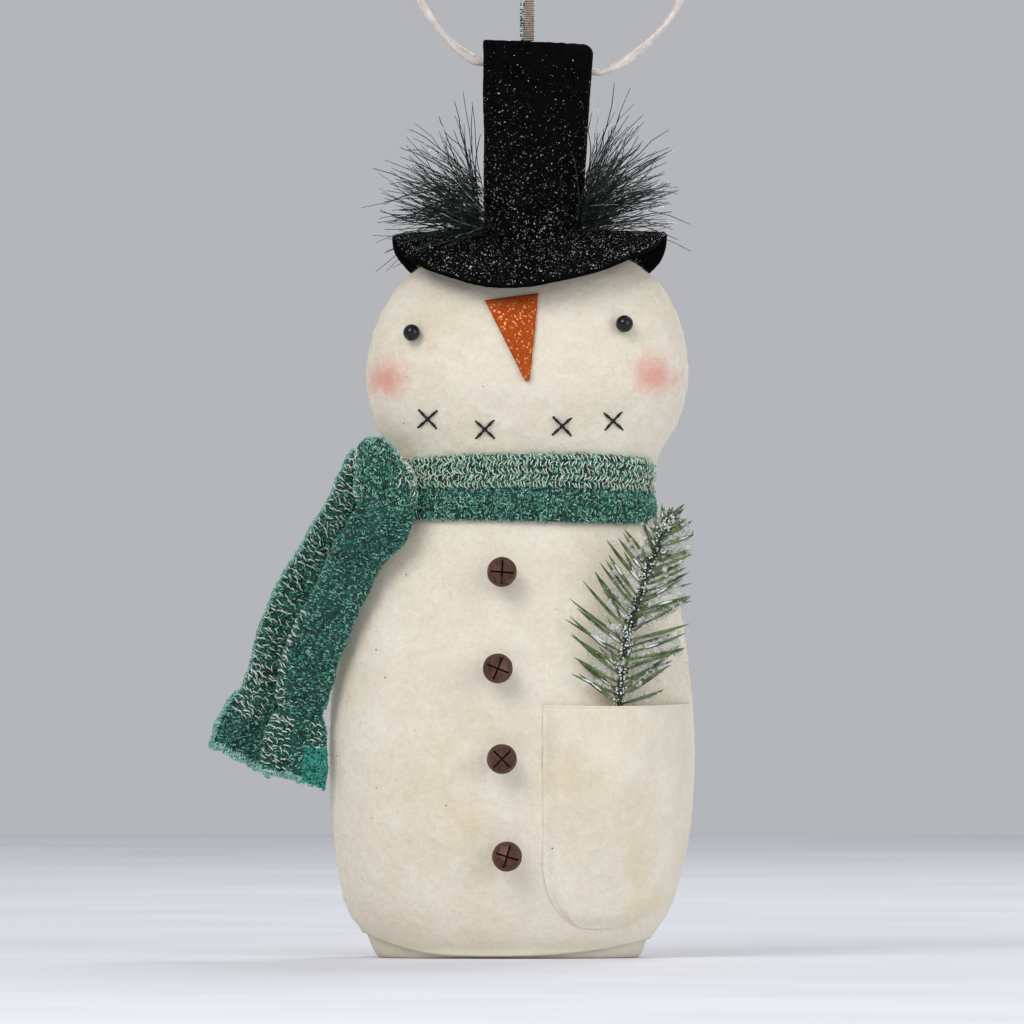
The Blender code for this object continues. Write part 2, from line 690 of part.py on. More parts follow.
def make_tail(name, stations):
    """A flat knitted tube whose rounded head turns about the pivot at its first station."""
    boxiness = 0.8
    centres = [Vector(station[:3]) for station in stations]
    halves = [station[3] for station in stations]
    pivot = centres[0]
    along = (centres[1] - pivot).normalized()
    radius = halves[0]
    head = [(pivot - along * radius * math.cos(a), radius * math.sin(a)) for a in (0.3, 0.7, 1.1)]
    spots = head + list(zip(centres, halves))
    rings = []
    for i, (centre, half_width) in enumerate(spots):
        before, after = spots[max(0, i - 1)][0], spots[min(len(spots) - 1, i + 1)][0]
        direction = after - before
        across = Vector((-direction.z, 0.0, direction.x)).normalized()
        ring = []
        for a in turns(12):
            side = half_width * signed_power(math.cos(a), boxiness)
            deep = TAIL_HALF_THICKNESS * signed_power(math.sin(a), boxiness)
            ring.append(centre + across * side + Vector((0.0, deep, 0.0)))
        rings.append(ring)
    loft(name, rings, "knit", origin=pivot)


def bell_shell_mesh():
    """A hollow ball with its poles front and back."""
    bm = bmesh.new()
    bmesh.ops.create_uvsphere(bm, u_segments=16, v_segments=8, radius=BELL_RADIUS)
    bmesh.ops.rotate(bm, verts=bm.verts, matrix=Matrix.Rotation(math.pi / 2, 3, "X"))
    mesh = bpy.data.meshes.new("bell_shell")
    bm.to_mesh(mesh)
    bm.free()
    mesh.shade_smooth()
    return mesh


def make_bells():
    """Each bell turns on its sewn shank loop, with a pellet that drops to the bottom of its shell."""
    slot_width, slot_length = BELL_SLOT
    ring, wire = BELL_LOOP
    stand_off = BELL_RADIUS + 2 * (ring + wire) + 2.5 * GAP  # leaves the shank loop clear of the cloth
    slot_depth = 0.55 * BELL_RADIUS
    ball = bell_shell_mesh()
    for number, (x, z, turn) in enumerate(BELLS, 1):
        name = f"bell_{number}"
        centre = Vector((x, front_point(x, z).y - stand_off, z))
        pivot = empty_at(name + "_swivel", centre)

        shell = bpy.data.objects.new(name + "_shell", ball.copy())
        shell.location = centre
        solidify(link_object(shell, "rust"), BELL_WALL, outward=False)
        for quarter in (0, 1):
            slot = box_cutter(
                f"{name}_slot_{quarter}",
                (-slot_length / 2, -1.2 * BELL_RADIUS, -slot_width / 2),
                (slot_length / 2, slot_depth - BELL_RADIUS, slot_width / 2),
            )
            slot.location = centre
            slot.rotation_euler = (0.0, math.radians(turn + 90 * quarter), 0.0)
            cut(shell, slot)
        hold(shell, pivot)

        bpy.ops.mesh.primitive_torus_add(
            location=centre + Vector((0.0, BELL_RADIUS + ring + wire + GAP, 0.0)),
            rotation=(0.0, math.pi / 2, 0.0),
            major_radius=ring,
            minor_radius=wire,
            major_segments=12,
            minor_segments=6,
        )
        loop = bpy.context.object
        for group in list(loop.users_collection):
            group.objects.unlink(loop)
        loop.name = name + "_loop"
        hold(link_object(loop, "rust"), pivot)

        bm = bmesh.new()
        bmesh.ops.create_icosphere(bm, subdivisions=2, radius=PELLET_RADIUS)
        drop = BELL_RADIUS - BELL_WALL - PELLET_RADIUS - 2 * GAP
        place = centre - Vector((0.0, 0.0, drop))
        bmesh.ops.translate(bm, verts=bm.verts, vec=place)
        hold(from_bmesh(name + "_pellet", bm, "steel", place), pivot)


clear_scene()
PARTS = new_collection("cloth_snowman")
CUTTERS = new_collection("cutters")
make_materials()
make_figure()
make_base()
make_hat()
make_garland()
make_hanger()
make_face()
make_scarf()
make_pocket()
make_sprig()
make_bells()
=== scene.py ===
"""The looks of a stuffed cloth snowman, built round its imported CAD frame.

Everything is in metres in the part's own frame: +Z up, the front faces -Y, the pocket is on +X.
"""

import math
import random

import bmesh
import bpy
import numpy as np
from mathutils import Matrix, Vector, noise
from mathutils.kdtree import KDTree


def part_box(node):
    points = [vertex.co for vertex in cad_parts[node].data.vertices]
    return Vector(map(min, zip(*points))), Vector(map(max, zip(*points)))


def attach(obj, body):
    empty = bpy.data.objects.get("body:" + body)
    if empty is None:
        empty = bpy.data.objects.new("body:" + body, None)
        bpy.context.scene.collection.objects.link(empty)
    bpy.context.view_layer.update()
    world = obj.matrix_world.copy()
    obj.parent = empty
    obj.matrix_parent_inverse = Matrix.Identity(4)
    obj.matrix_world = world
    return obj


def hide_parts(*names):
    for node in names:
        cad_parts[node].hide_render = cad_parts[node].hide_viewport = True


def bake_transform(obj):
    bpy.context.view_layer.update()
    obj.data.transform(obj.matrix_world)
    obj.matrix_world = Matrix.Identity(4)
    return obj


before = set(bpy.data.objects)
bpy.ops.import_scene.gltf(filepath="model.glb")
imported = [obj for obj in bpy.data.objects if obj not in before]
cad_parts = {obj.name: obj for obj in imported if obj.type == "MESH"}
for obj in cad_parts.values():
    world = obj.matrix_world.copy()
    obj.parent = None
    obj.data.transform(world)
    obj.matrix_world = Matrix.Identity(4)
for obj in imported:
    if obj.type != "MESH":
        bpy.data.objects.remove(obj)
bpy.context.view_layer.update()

MM = 0.001
CLOTH = 1.6 * MM
FELT = 1.8 * MM
SQUARENESS = 2.5  # exponent of the body's rounded-oval section


# ---------------------------------------------------------------- camera, floor and light

VIEW_WIDTH = 0.348  # what the camera takes in at the figure, across
VIEW_DISTANCE = 9.0
VIEW_HEIGHT = 0.1513
VIEW_TILT = math.radians(0.3)
SENSOR = 36.0


def add_object(name, data):
    """A new object in the scene for a mesh, a light or the camera."""
    ob = bpy.data.objects.new(name, data)
    bpy.context.scene.collection.objects.link(ob)
    return ob


def make_camera():
    data = bpy.data.cameras.new("camera")
    data.sensor_width = SENSOR
    data.lens = SENSOR * VIEW_DISTANCE / VIEW_WIDTH
    data.clip_start = 0.05
    camera = add_object("camera", data)
    aim = Vector((0.0, 0.0, VIEW_HEIGHT))
    camera.location = aim + VIEW_DISTANCE * Vector((0.0, -math.cos(VIEW_TILT), math.sin(VIEW_TILT)))
    camera.rotation_euler = (aim - camera.location).to_track_quat("-Z", "Y").to_euler()
    bpy.context.scene.camera = camera


def add_light(name, place, size, power, colour=(1.0, 1.0, 1.0)):
    data = bpy.data.lights.new(name, "AREA")
    data.shape = "DISK"
    data.size = size
    data.energy = power
    data.color = colour
    light = add_object(name, data)
    light.location = place
    light.rotation_euler = (Vector((0.0, 0.0, 0.15)) - Vector(place)).to_track_quat("-Z", "Y").to_euler()


make_camera()


# ---------------------------------------------------------------- node materials


class Paint:
    """A material being built: each call adds a node and gives back its output."""

    def __init__(self, name, roughness=0.8, metallic=0.0, **sockets):
        self.mat = bpy.data.materials.new(name)
        self.mat.use_nodes = True
        self.nodes = self.mat.node_tree.nodes
        self.links = self.mat.node_tree.links
        self.shader = self.nodes["Principled BSDF"]
        for socket, value in {"Roughness": roughness, "Metallic": metallic, **sockets}.items():
            self.shader.inputs[socket.replace("_", " ")].default_value = value
        self.place = self.nodes.new("ShaderNodeTexCoord").outputs["Object"]
        strip = self.nodes.new("ShaderNodeUVMap")
        strip.uv_map = "strip"
        self.uv = strip.outputs["UV"]

    def put(self, socket, value):
        """A link where value is another node's output, else a plain value."""
        if isinstance(value, bpy.types.NodeSocket):
            self.links.new(value, socket)
        elif value is not None:
            is_colour = socket.type == "RGBA" and len(value) == 3
            socket.default_value = (*value, 1.0) if is_colour else value

    def node(self, kind, output, inputs, **settings):
        """A node with its settings and inputs, by socket name or number. Gives one of its outputs."""
        node = self.nodes.new("ShaderNode" + kind)
        for name, value in settings.items():
            setattr(node, name, value)
        for socket, value in inputs.items():
            self.put(node.inputs[socket], value)
        return node.outputs[output]

    def noise(self, scale, detail=3.0, rough=0.55, vector=None, distortion=0.0):
        return self.node("TexNoise", "Fac", {"Scale": scale, "Detail": detail, "Roughness": rough,
                                             "Distortion": distortion, "Vector": vector or self.place})

    def cells(self, scale, vector=None, output="Distance", randomness=1.0):
        return self.node("TexVoronoi", output, {"Scale": scale, "Randomness": randomness,
                                                "Vector": vector or self.place})

    def stretch(self, scale, vector=None, offset=(0, 0, 0)):
        return self.node("Mapping", "Vector", {"Scale": scale, "Location": offset,
                                               "Vector": vector or self.place})

    def math(self, operation, a, b=None):
        return self.node("Math", 0, {0: a, 1: b}, operation=operation)

    def range(self, value, low, high, to_low=0.0, to_high=1.0):
        return self.node("MapRange", 0, {0: value, 1: low, 2: high, 3: to_low, 4: to_high},
                         interpolation_type="SMOOTHSTEP")

    def mix(self, share, a, b):
        return self.node("Mix", "Result", {"Factor": share, "A": a, "B": b}, data_type="RGBA")

    def layers(self, colour, *layers):
        """Colours laid over one another. Each covers where its texture passes through a span of values."""
        for texture, span, over in layers:
            colour = self.mix(self.range(texture, *span), colour, over)
        return colour

    def distance_to(self, centre, scale=(1, 1, 1)):
        scaled = [c * s for c, s in zip(centre, scale)]
        return self.node("VectorMath", "Value", {0: self.stretch(scale), 1: scaled}, operation="DISTANCE")

    def part(self, axis, vector=None):
        return self.node("SeparateXYZ", axis, {0: vector or self.place})

    def attribute(self, name):
        return self.node("Attribute", "Fac", {}, attribute_name=name)

    def bump(self, height, depth, strength=1.0, under=None):
        return self.node("Bump", "Normal", {"Strength": strength, "Distance": depth, "Height": height,
                                            "Normal": under})

    def done(self, colour=None, roughness=None, normal=None, metallic=None, alpha=None):
        finish = {"Base Color": colour, "Roughness": roughness, "Metallic": metallic, "Alpha": alpha,
                  "Normal": normal}
        for socket, value in finish.items():
            self.put(self.shader.inputs[socket], value)
        return self.mat


BLUSH = ((-0.0425, 0.1965, 0.0105), (0.0485, 0.1982, 0.0115))  # X, Z and radius of each cheek
BLUSH_COLOUR = (0.740, 0.325, 0.255)
TEA_STAIN = (0.720, 0.580, 0.345)
SEED = (0.20, 0.105, 0.055)


def paint_batting(name, blush=False):
    """Cream needled cotton: soft nap, tea stains, bits of seed, painted cheeks on the face, and painted shade
    near the hem.
    """
    p = Paint(name, 0.95, Sheen_Weight=0.25, Sheen_Roughness=0.6, Sheen_Tint=(1.0, 0.97, 0.9, 1.0),
              Specular_IOR_Level=0.15)
    stain = p.range(p.noise(21.0, 4.0, 0.62, p.stretch((1, 1, 1), offset=(0.3, 0.1, 0.7))), 0.54, 0.74)
    fibre = p.noise(620.0, 3.0, 0.65, distortion=0.9)
    tuft = p.noise(190.0, 3.0, 0.6, distortion=0.5)
    colour = p.layers((0.770, 0.692, 0.552), (p.noise(34.0, 3.0, 0.6), (0.3, 0.7), (0.840, 0.778, 0.652)))
    colour = p.mix(p.math("MULTIPLY", stain, 0.55), colour, TEA_STAIN)
    colour = p.layers(colour, (fibre, (0.36, 0.62, 0.20, 0.0), (0.560, 0.480, 0.350)),
                      (tuft, (0.45, 0.72, 0.0, 0.22), (0.920, 0.880, 0.790)))
    seeds = p.range(p.cells(120.0), 0.024, 0.050, 1.0, 0.0)
    few = p.range(p.noise(33.0, 1.0), 0.47, 0.53)
    colour = p.mix(p.math("MULTIPLY", seeds, few), colour, SEED)
    for x, z, radius in BLUSH if blush else ():
        away = p.distance_to((x, 0.0, z), (1.0, 0.0, 1.0))
        rough = p.math("ADD", away, p.math("MULTIPLY", p.math("SUBTRACT", tuft, 0.5), 0.010))
        colour = p.layers(colour, (rough, (0.0, radius, 0.88, 0.0), BLUSH_COLOUR))
    # Painted shade: the cloth darkens over its lowest 12 mm, where it curves under towards the floor.
    colour = p.layers(colour, (p.part("Z"), (0.0, 0.012, 0.34, 0.0), (0.470, 0.420, 0.340)))
    grain = p.math("ADD", p.math("MULTIPLY", fibre, 0.55), tuft)
    return p.done(colour, normal=p.bump(grain, 0.9 * MM, 0.42))


def paint_felt(name, dark, light, glitter=None, gloss=0.02):
    """Pressed felt: short tangled fibres, and glitter pressed into it."""
    p = Paint(name, 0.95, Specular_IOR_Level=gloss)
    fibre = p.noise(900.0, 4.0, 0.7, distortion=1.5)
    broad = p.noise(120.0, 3.0, 0.6)
    colour = p.layers(dark, (fibre, (0.35, 0.68), light), (broad, (0.4, 0.75, 0.0, 0.35), light))
    height = p.math("ADD", fibre, p.math("MULTIPLY", broad, 0.7))
    if not glitter:
        return p.done(colour, normal=p.bump(height, 0.5 * MM, 0.5))
    flakes = p.cells(1700.0, output="Color")
    speck = p.range(p.part("X", flakes), 0.86, 0.90)
    tilt = p.bump(p.part("Y", flakes), 0.4 * MM, 0.8, p.bump(height, 0.4 * MM, 0.4))
    return p.done(p.mix(speck, colour, glitter), p.range(speck, 0.0, 1.0, 0.9, 0.3), tilt,
                  p.math("MULTIPLY", speck, 0.7))


def paint_flakes(name, dark, light):
    """Glitter flakes, each one its own brightness and few of them bright: the bright ones are painted glints.
    """
    p = Paint(name, 0.30, 0.35)
    shade = p.cells(1300.0, output="Color")
    return p.done(p.layers(dark, (p.part("X", shade), (0.30, 1.0), light)),
                  p.range(p.part("Z", shade), 0.0, 1.0, 0.12, 0.4))


def paint_knit(name, dark, mid, light, ribs):
    """Machine knit: rows of small loops, with painted shade in the holes between them."""
    p = Paint(name, 0.88, Sheen_Weight=0.3, Sheen_Roughness=0.5, Specular_IOR_Level=0.25)
    loops = p.cells(1.0, p.stretch((ribs[0], ribs[1], 1.0), p.uv), randomness=0.55)
    fluff = p.noise(1500.0, 3.0, 0.7, distortion=1.0)
    # The dark in the holes between loops is painted shade.
    colour = p.layers(mid, (loops, (0.15, 0.62), dark),
                      (p.noise(160.0, 2.0, 0.6), (0.35, 0.7, 0.0, 0.55), light),
                      (fluff, (0.60, 0.74, 0.0, 0.75), (0.30, 0.56, 0.47)))
    height = p.math("SUBTRACT", p.math("MULTIPLY", fluff, 0.35), loops)
    return p.done(colour, normal=p.bump(height, 0.9 * MM, 0.75))


def paint_shades(name, dark, mid, light):
    """Yarn whose strands each have their own shade."""
    p = Paint(name, 0.8, Sheen_Weight=0.15, Sheen_Roughness=0.5, Specular_IOR_Level=0.35)
    uneven = p.math("MULTIPLY", p.math("SUBTRACT", p.noise(1400.0, 2.0), 0.5), 0.5)
    fine = p.math("ADD", p.attribute("shade"), uneven)
    colour = p.layers(dark, (fine, (0.05, 0.55), mid), (fine, (0.62, 1.02), light))
    return p.done(colour, normal=p.bump(p.noise(2600.0, 2.0), 0.1 * MM, 0.4))


def paint_yarn(name, dark, light, roughness=0.75, sheen=0.2):
    p = Paint(name, roughness, Sheen_Weight=sheen, Sheen_Roughness=0.5)
    twist = p.noise(1600.0, 3.0, 0.6, distortion=1.0)
    colour = p.layers(dark, (twist, (0.3, 0.7), light), (p.noise(140.0, 2.0), (0.45, 0.7, 0.0, 0.35), dark))
    return p.done(colour, normal=p.bump(twist, 0.25 * MM, 0.6))


def paint_rust(name):
    """Rusted tin: brown-maroon scale with dark pits and orange blooms."""
    p = Paint(name, 0.7, 0.35)
    scale = p.noise(420.0, 5.0, 0.7)
    grit = p.noise(1700.0, 4.0, 0.7)
    colour = p.layers((0.038, 0.015, 0.009), (scale, (0.35, 0.66), (0.150, 0.062, 0.038)),
                      (p.noise(160.0, 3.0, 0.6), (0.50, 0.72, 0.0, 0.75), (0.240, 0.112, 0.070)),
                      (grit, (0.60, 0.74, 0.0, 0.6), (0.400, 0.230, 0.170)))
    height = p.math("ADD", scale, p.math("MULTIPLY", grit, 0.6))
    return p.done(colour, p.range(scale, 0.3, 0.7, 0.5, 0.85), p.bump(height, 0.35 * MM, 0.7))


def paint_plain(name, dark, light, scale, roughness, metallic=0.0, depth=0.15, **sockets):
    """A smooth surface with fine unevenness in its colour, gloss and height."""
    p = Paint(name, roughness, metallic, **sockets)
    fine = p.noise(scale, 4.0, 0.6)
    rough = p.range(p.noise(scale * 2.3, 3.0), 0.3, 0.7, roughness * 0.75, min(1.0, roughness * 1.25))
    return p.done(p.layers(dark, (fine, (0.3, 0.7), light)), rough, p.bump(fine, depth * MM, 0.5))


def paint_ice(name):
    """Half-clear flock: white grains in a thin clear film."""
    p = Paint(name, 0.50, Sheen_Weight=0.2)
    grain = p.noise(760.0, 4.0, 0.75)
    colour = p.layers((0.43, 0.43, 0.38), (grain, (0.35, 0.70), (0.72, 0.72, 0.67)),
                      (p.noise(2600.0, 2.0, 0.6), (0.60, 0.70), (0.95, 0.95, 0.94)))
    return p.done(colour, normal=p.bump(grain, 0.4 * MM, 0.7), alpha=p.range(grain, 0.38, 0.66, 0.16, 0.78))


def paint_wood(name):
    p = Paint(name, 0.7)
    grain = p.noise(60.0, 4.0, 0.6, p.stretch((1.0, 12.0, 12.0)), 0.6)
    return p.done(p.layers((0.42, 0.27, 0.14), (grain, (0.3, 0.7), (0.60, 0.43, 0.25))),
                  normal=p.bump(grain, 0.2 * MM, 0.5))


def paint_satin(name, spacing, edge):
    """Ribbed satin ribbon whose left part, up to X = edge, is silver tinsel."""
    p = Paint(name, 0.42, Sheen_Weight=0.2, Sheen_Roughness=0.3, Anisotropic=0.4)
    rib = p.math("SINE", p.math("MULTIPLY", p.part("Z"), 2 * math.pi / spacing))
    thread = p.noise(1400.0, 2.0, 0.6, p.stretch((3.0, 3.0, 0.4)))
    # The dark in the troughs between the ribs is painted shade.
    colour = p.layers((0.290, 0.210, 0.165), (thread, (0.3, 0.7), (0.520, 0.410, 0.340)),
                      (rib, (-1.0, -0.1, 0.85, 0.0), (0.085, 0.060, 0.048)))
    spark = p.part("X", p.cells(2100.0, output="Color"))
    silver = p.layers((0.07, 0.10, 0.12), (spark, (0.25, 0.8), (0.74, 0.82, 0.86)))
    left = p.range(p.part("X"), edge - 0.1 * MM, edge + 0.1 * MM, 1.0, 0.0)
    return p.done(p.mix(left, colour, silver), normal=p.bump(rib, 0.15 * MM, 0.6),
                  metallic=p.math("MULTIPLY", left, 0.7))


# ---------------------------------------------------------------- mesh helpers


def within(value):
    return np.clip(value, 0, 1)


def eased(share):
    """A share from 0 to 1, with a soft start and a soft end."""
    return share * share * (3 - 2 * share)


def hump(offset, width):
    """1 at no offset, falling to 0 over about twice the width."""
    return np.exp(-((offset / width) ** 2))


def rounded(value, power):
    """A sine or cosine bent so that its circle becomes a squarer oval."""
    return np.sign(value) * np.abs(value) ** power


def full_turn(count):
    return np.linspace(0, 2 * math.pi, count, endpoint=False)


def lattice(rows, columns):
    """Row and column values of a grid of points."""
    return np.meshgrid(rows, columns, indexing="ij")


def xyz(x, y, z):
    """Points from their coordinates. A coordinate may be one number for all of them."""
    return np.stack(np.broadcast_arrays(x, y, z), -1)


def noisy(points, terms):
    """A sum of lumps in millimetres. Each term is a height, a size, a seed and a detail."""
    return sum(height * MM * lumps(points, size, seed, detail) for height, size, seed, detail in terms)


def grid_faces(rows, columns, around=False, start=0):
    """Quads of a grid of points; around joins each row's end to its start."""
    row, column = lattice(np.arange(rows - 1), np.arange(columns - (not around)))
    right = (column + 1) % columns
    low, high = row * columns, (row + 1) * columns
    quads = np.stack([low + column, low + right, high + right, high + column], -1)
    return (quads.reshape(-1, 4) + start).tolist()


def cap_faces(rows, columns):
    """Triangles from the first and last ring of a closed grid to the two points that follow it."""
    count, top = rows * columns, (rows - 1) * columns
    turn = [(i, (i + 1) % columns) for i in range(columns)]
    return [[count, j, i] for i, j in turn] + [[count + 1, top + i, top + j] for i, j in turn]


def make_piece(name, points, faces, material, uv=None, smooth=True, shade=None):
    """A mesh object at the origin. uv has one pair for each point, and shade one number."""
    mesh = bpy.data.meshes.new(name)
    mesh.from_pydata(np.asarray(points, float).tolist(), [], faces)
    if uv is not None:
        layer = mesh.uv_layers.new(name="strip")
        corner = np.zeros(len(mesh.loops), np.int32)
        mesh.loops.foreach_get("vertex_index", corner)
        layer.data.foreach_set("uv", np.asarray(uv, np.float32)[corner].ravel())
    if shade is not None:
        layer = mesh.attributes.new("shade", "FLOAT", "POINT")
        layer.data.foreach_set("value", np.asarray(shade, np.float32))
    bm = bmesh.new()
    bm.from_mesh(mesh)
    bmesh.ops.recalc_face_normals(bm, faces=bm.faces)
    bm.to_mesh(mesh)
    bm.free()
    if smooth:
        mesh.shade_smooth()
    ob = add_object(name, mesh)
    mesh.materials.append(material)
    return ob


def settle(ob, body, slot, *replaced):
    """Rides a piece on its body and hides the CAD nodes it stands for. Its slot, the finish's name, is not
    used.
    """
    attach(ob, body)
    if replaced:
        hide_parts(*replaced)
    return ob


def shell(outer, inner, around=False):
    """A closed skin from two matching grids of points, rims included."""
    rows, columns = outer.shape[:2]
    count = rows * columns
    points = np.concatenate([outer.reshape(-1, 3), inner.reshape(-1, 3)])
    faces = grid_faces(rows, columns, around)
    faces += [face[::-1] for face in grid_faces(rows, columns, around, count)]

    def rim(line):
        pairs = list(zip(line, line[1:]))
        if around and line[0] // columns == line[-1] // columns and len(line) == columns:
            pairs.append((line[-1], line[0]))
        return [[a, b, b + count, a + count] for a, b in pairs]

    faces += rim(list(range(columns)))
    faces += rim(list(range(count - columns, count)))
    if not around:
        faces += rim(list(range(0, count, columns)))
        faces += rim(list(range(columns - 1, count, columns)))
    return points, faces


def lumps(points, size, seed, detail=1):
    """Smooth noise from -1 to 1 at each point, with lumps of about the given size."""
    shift = Vector((seed * 7.31, seed * 3.17, seed * 5.53))
    flat = np.asarray(points, float).reshape(-1, 3) / size
    values = [noise.fractal(Vector(p) + shift, 1.0, 2.0, detail) for p in flat]
    return np.array(values).reshape(np.asarray(points).shape[:-1])


def along(table, where):
    """Each column of a table at the given keys, on one smooth curve through its rows."""
    table = np.asarray(table, float)
    keys, values = table[:, 0], table[:, 1:]
    slopes = np.gradient(values, keys, axis=0)
    where = np.asarray(where, float)
    i = np.clip(np.searchsorted(keys, where) - 1, 0, len(keys) - 2)
    span = (keys[i + 1] - keys[i])[..., None]
    t = ((where - keys[i])[..., None]) / span
    low = values[i] * (2 * t**3 - 3 * t**2 + 1) + slopes[i] * span * (t**3 - 2 * t**2 + t)
    high = values[i + 1] * (3 * t**2 - 2 * t**3) + slopes[i + 1] * span * (t**3 - t**2)
    return low + high


def smooth_path(points, count):
    """Evenly spaced points on a smooth curve through the given ones."""
    points = np.asarray(points, float)
    steps = np.linalg.norm(np.diff(points, axis=0), axis=1)
    keys = np.concatenate([[0.0], np.cumsum(steps)])
    table = np.column_stack([keys, points])
    fine = along(table, np.linspace(0, keys[-1], 12 * len(points)))
    far = np.concatenate([[0.0], np.cumsum(np.linalg.norm(np.diff(fine, axis=0), axis=1))])
    even = np.linspace(0, far[-1], count)
    return np.column_stack([np.interp(even, far, fine[:, k]) for k in range(3)])


def unit(vectors):
    length = np.linalg.norm(vectors, axis=-1, keepdims=True)
    return vectors / np.maximum(length, 1e-12)


def rod(path, radii, sides=6, side_way=(0.0, 0.0, 1.0), flat=1.0):
    """Points and faces of one closed rod: rings along a path, with a point at each end."""
    path = np.asarray(path, float)
    radii = np.broadcast_to(np.asarray(radii, float), (len(path),))
    run = unit(np.gradient(path, axis=0))
    guide = np.array(side_way, float)
    if abs(np.dot(run[0], unit(guide))) > 0.92:
        guide = np.array((1.0, 0.0, 0.0))
    across = unit(np.cross(run, guide))
    up = np.cross(across, run)
    angle = full_turn(sides)[None, :, None]
    ring = across[:, None] * np.cos(angle) + up[:, None] * np.sin(angle) * flat
    rings = path[:, None] + ring * radii[:, None, None]
    ends = path[:1] - run[:1] * radii[0], path[-1:] + run[-1:] * radii[-1]
    points = np.concatenate([rings.reshape(-1, 3), *ends])
    return points, grid_faces(len(path), sides, True) + cap_faces(len(path), sides)


def strands(paths, radii, sides=3):
    """Many rods at once, as points and faces: paths is strands x rings x 3, radii strands x rings."""
    count, rings = paths.shape[:2]
    run = unit(np.gradient(paths, axis=1))
    guide = np.where(np.abs(run[:, :1, 2:3]) > 0.9, (1.0, 0.0, 0.0), (0.0, 0.0, 1.0))
    across = unit(np.cross(run, guide))
    up = np.cross(across, run)
    angle = full_turn(sides)[None, None, :, None]
    ring = across[:, :, None] * np.cos(angle) + up[:, :, None] * np.sin(angle)
    grid = paths[:, :, None] + ring * radii[:, :, None, None]
    ends = [paths[:, 0] - run[:, 0] * radii[:, :1], paths[:, -1] + run[:, -1] * radii[:, -1:]]
    points = np.concatenate([grid.reshape(count, -1, 3), np.stack(ends, 1)], 1)
    shift = (np.arange(count) * (rings * sides + 2))[:, None, None]
    faces = []
    for corners, part in ((4, grid_faces(rings, sides, True)), (3, cap_faces(rings, sides))):
        faces += (np.array(part)[None] + shift).reshape(-1, corners).tolist()
    return points.reshape(-1, 3), faces


class Heap:
    """Many small closed bodies gathered into one piece."""

    def __init__(self):
        self.points, self.faces, self.count = [], [], 0

    def add(self, points, faces):
        self.points.append(np.asarray(points))
        self.faces += [[i + self.count for i in face] for face in faces]
        self.count += len(points)

    def piece(self, name, material, smooth=True):
        return make_piece(name, np.concatenate(self.points), self.faces, material, smooth=smooth)


OCTAHEDRON = ([0, 2, 4], [2, 1, 4], [1, 3, 4], [3, 0, 4], [2, 0, 5], [1, 2, 5], [3, 1, 5], [0, 3, 5])


def flake(place, normal, size, rng):
    """A small flat glitter flake lying on a surface, tilted at random."""
    normal = unit(np.asarray(normal) + np.array([rng.gauss(0, 0.45) for _ in range(3)]))
    side = unit(np.cross(normal, (rng.random() - 0.5, rng.random() - 0.5, 1.1)))
    other = np.cross(normal, side)
    reach = (side, -side, other, -other)
    points = [place + way * size for way in reach]
    points += [place + normal * size * 0.18, place - normal * size * 0.18]
    return np.array(points), OCTAHEDRON


# ---------------------------------------------------------------- the stuffed body


# The stuffed figure: height, half width, half depth and centre X, from its hem to the crown of its head.
OUTLINE = (
    (0.0000, 0.0466, 0.0272, -0.0012),
    (0.0028, 0.0468, 0.0274, -0.0012),
    (0.0060, 0.0482, 0.0290, -0.0012),
    (0.0140, 0.0535, 0.0322, -0.0012),
    (0.0320, 0.0590, 0.0360, -0.0005),
    (0.0620, 0.0620, 0.0370, 0.0),
    (0.0880, 0.0613, 0.0352, 0.0),
    (0.1120, 0.0582, 0.0318, 0.0003),
    (0.1340, 0.0530, 0.0270, 0.0008),
    (0.1500, 0.0465, 0.0230, 0.0016),
    (0.1600, 0.0430, 0.0215, 0.0026),
    (0.1700, 0.0455, 0.0235, 0.0042),
    (0.1820, 0.0515, 0.0280, 0.0050),
    (0.1960, 0.0548, 0.0310, 0.0052),
    (0.2100, 0.0533, 0.0300, 0.0054),
    (0.2220, 0.0488, 0.0265, 0.0059),
    (0.2320, 0.0408, 0.0205, 0.0062),
    (0.2380, 0.0305, 0.0140, 0.0062),
    (0.2412, 0.0190, 0.0085, 0.0062),
    (0.2425, 0.0100, 0.0045, 0.0062),
)
BODY_TOP = OUTLINE[-1][0]
NECK = 0.160
# Height of the body's lower edge across the front: X and Z.
HEM = ((-0.060, 0.0125), (-0.0513, 0.0092), (-0.0465, 0.0066), (-0.040, 0.0040), (-0.030, 0.0018),
       (-0.015, 0.0009), (0.0, 0.0009), (0.015, 0.0014), (0.030, 0.0028), (0.038, 0.0042), (0.0445, 0.0058),
       (0.060, 0.0100))
HEM_ENDS = (-0.059, 0.059)


def body_at(z, angle, grow=0.0):
    """Points of the figure's cloth at heights and angles round it. -90 degrees is the front."""
    half_width, half_depth, centre = np.moveaxis(along(OUTLINE, z), -1, 0)
    power = 2.0 / SQUARENESS
    c, s = np.cos(angle), np.sin(angle)
    x = centre + (half_width + grow) * rounded(c, power)
    y = (half_depth + grow) * rounded(s, power)
    return xyz(x, y, np.broadcast_to(z, np.shape(x)))


def front_y(x, z, grow=0.0):
    """Y of the front cloth behind places seen from the front."""
    half_width, half_depth, centre = np.moveaxis(along(OUTLINE, z), -1, 0)
    share = np.clip(np.abs((x - centre) / (half_width + grow)), 0.0, 0.999)
    return -(half_depth + grow) * (1.0 - share**SQUARENESS) ** (1.0 / SQUARENESS)


BASE_FOOT = (0.0448, 0.0250)  # half width and half depth of its flat part
BASE_REACH = 0.049
BASE_CLOTH = 1.5 * MM


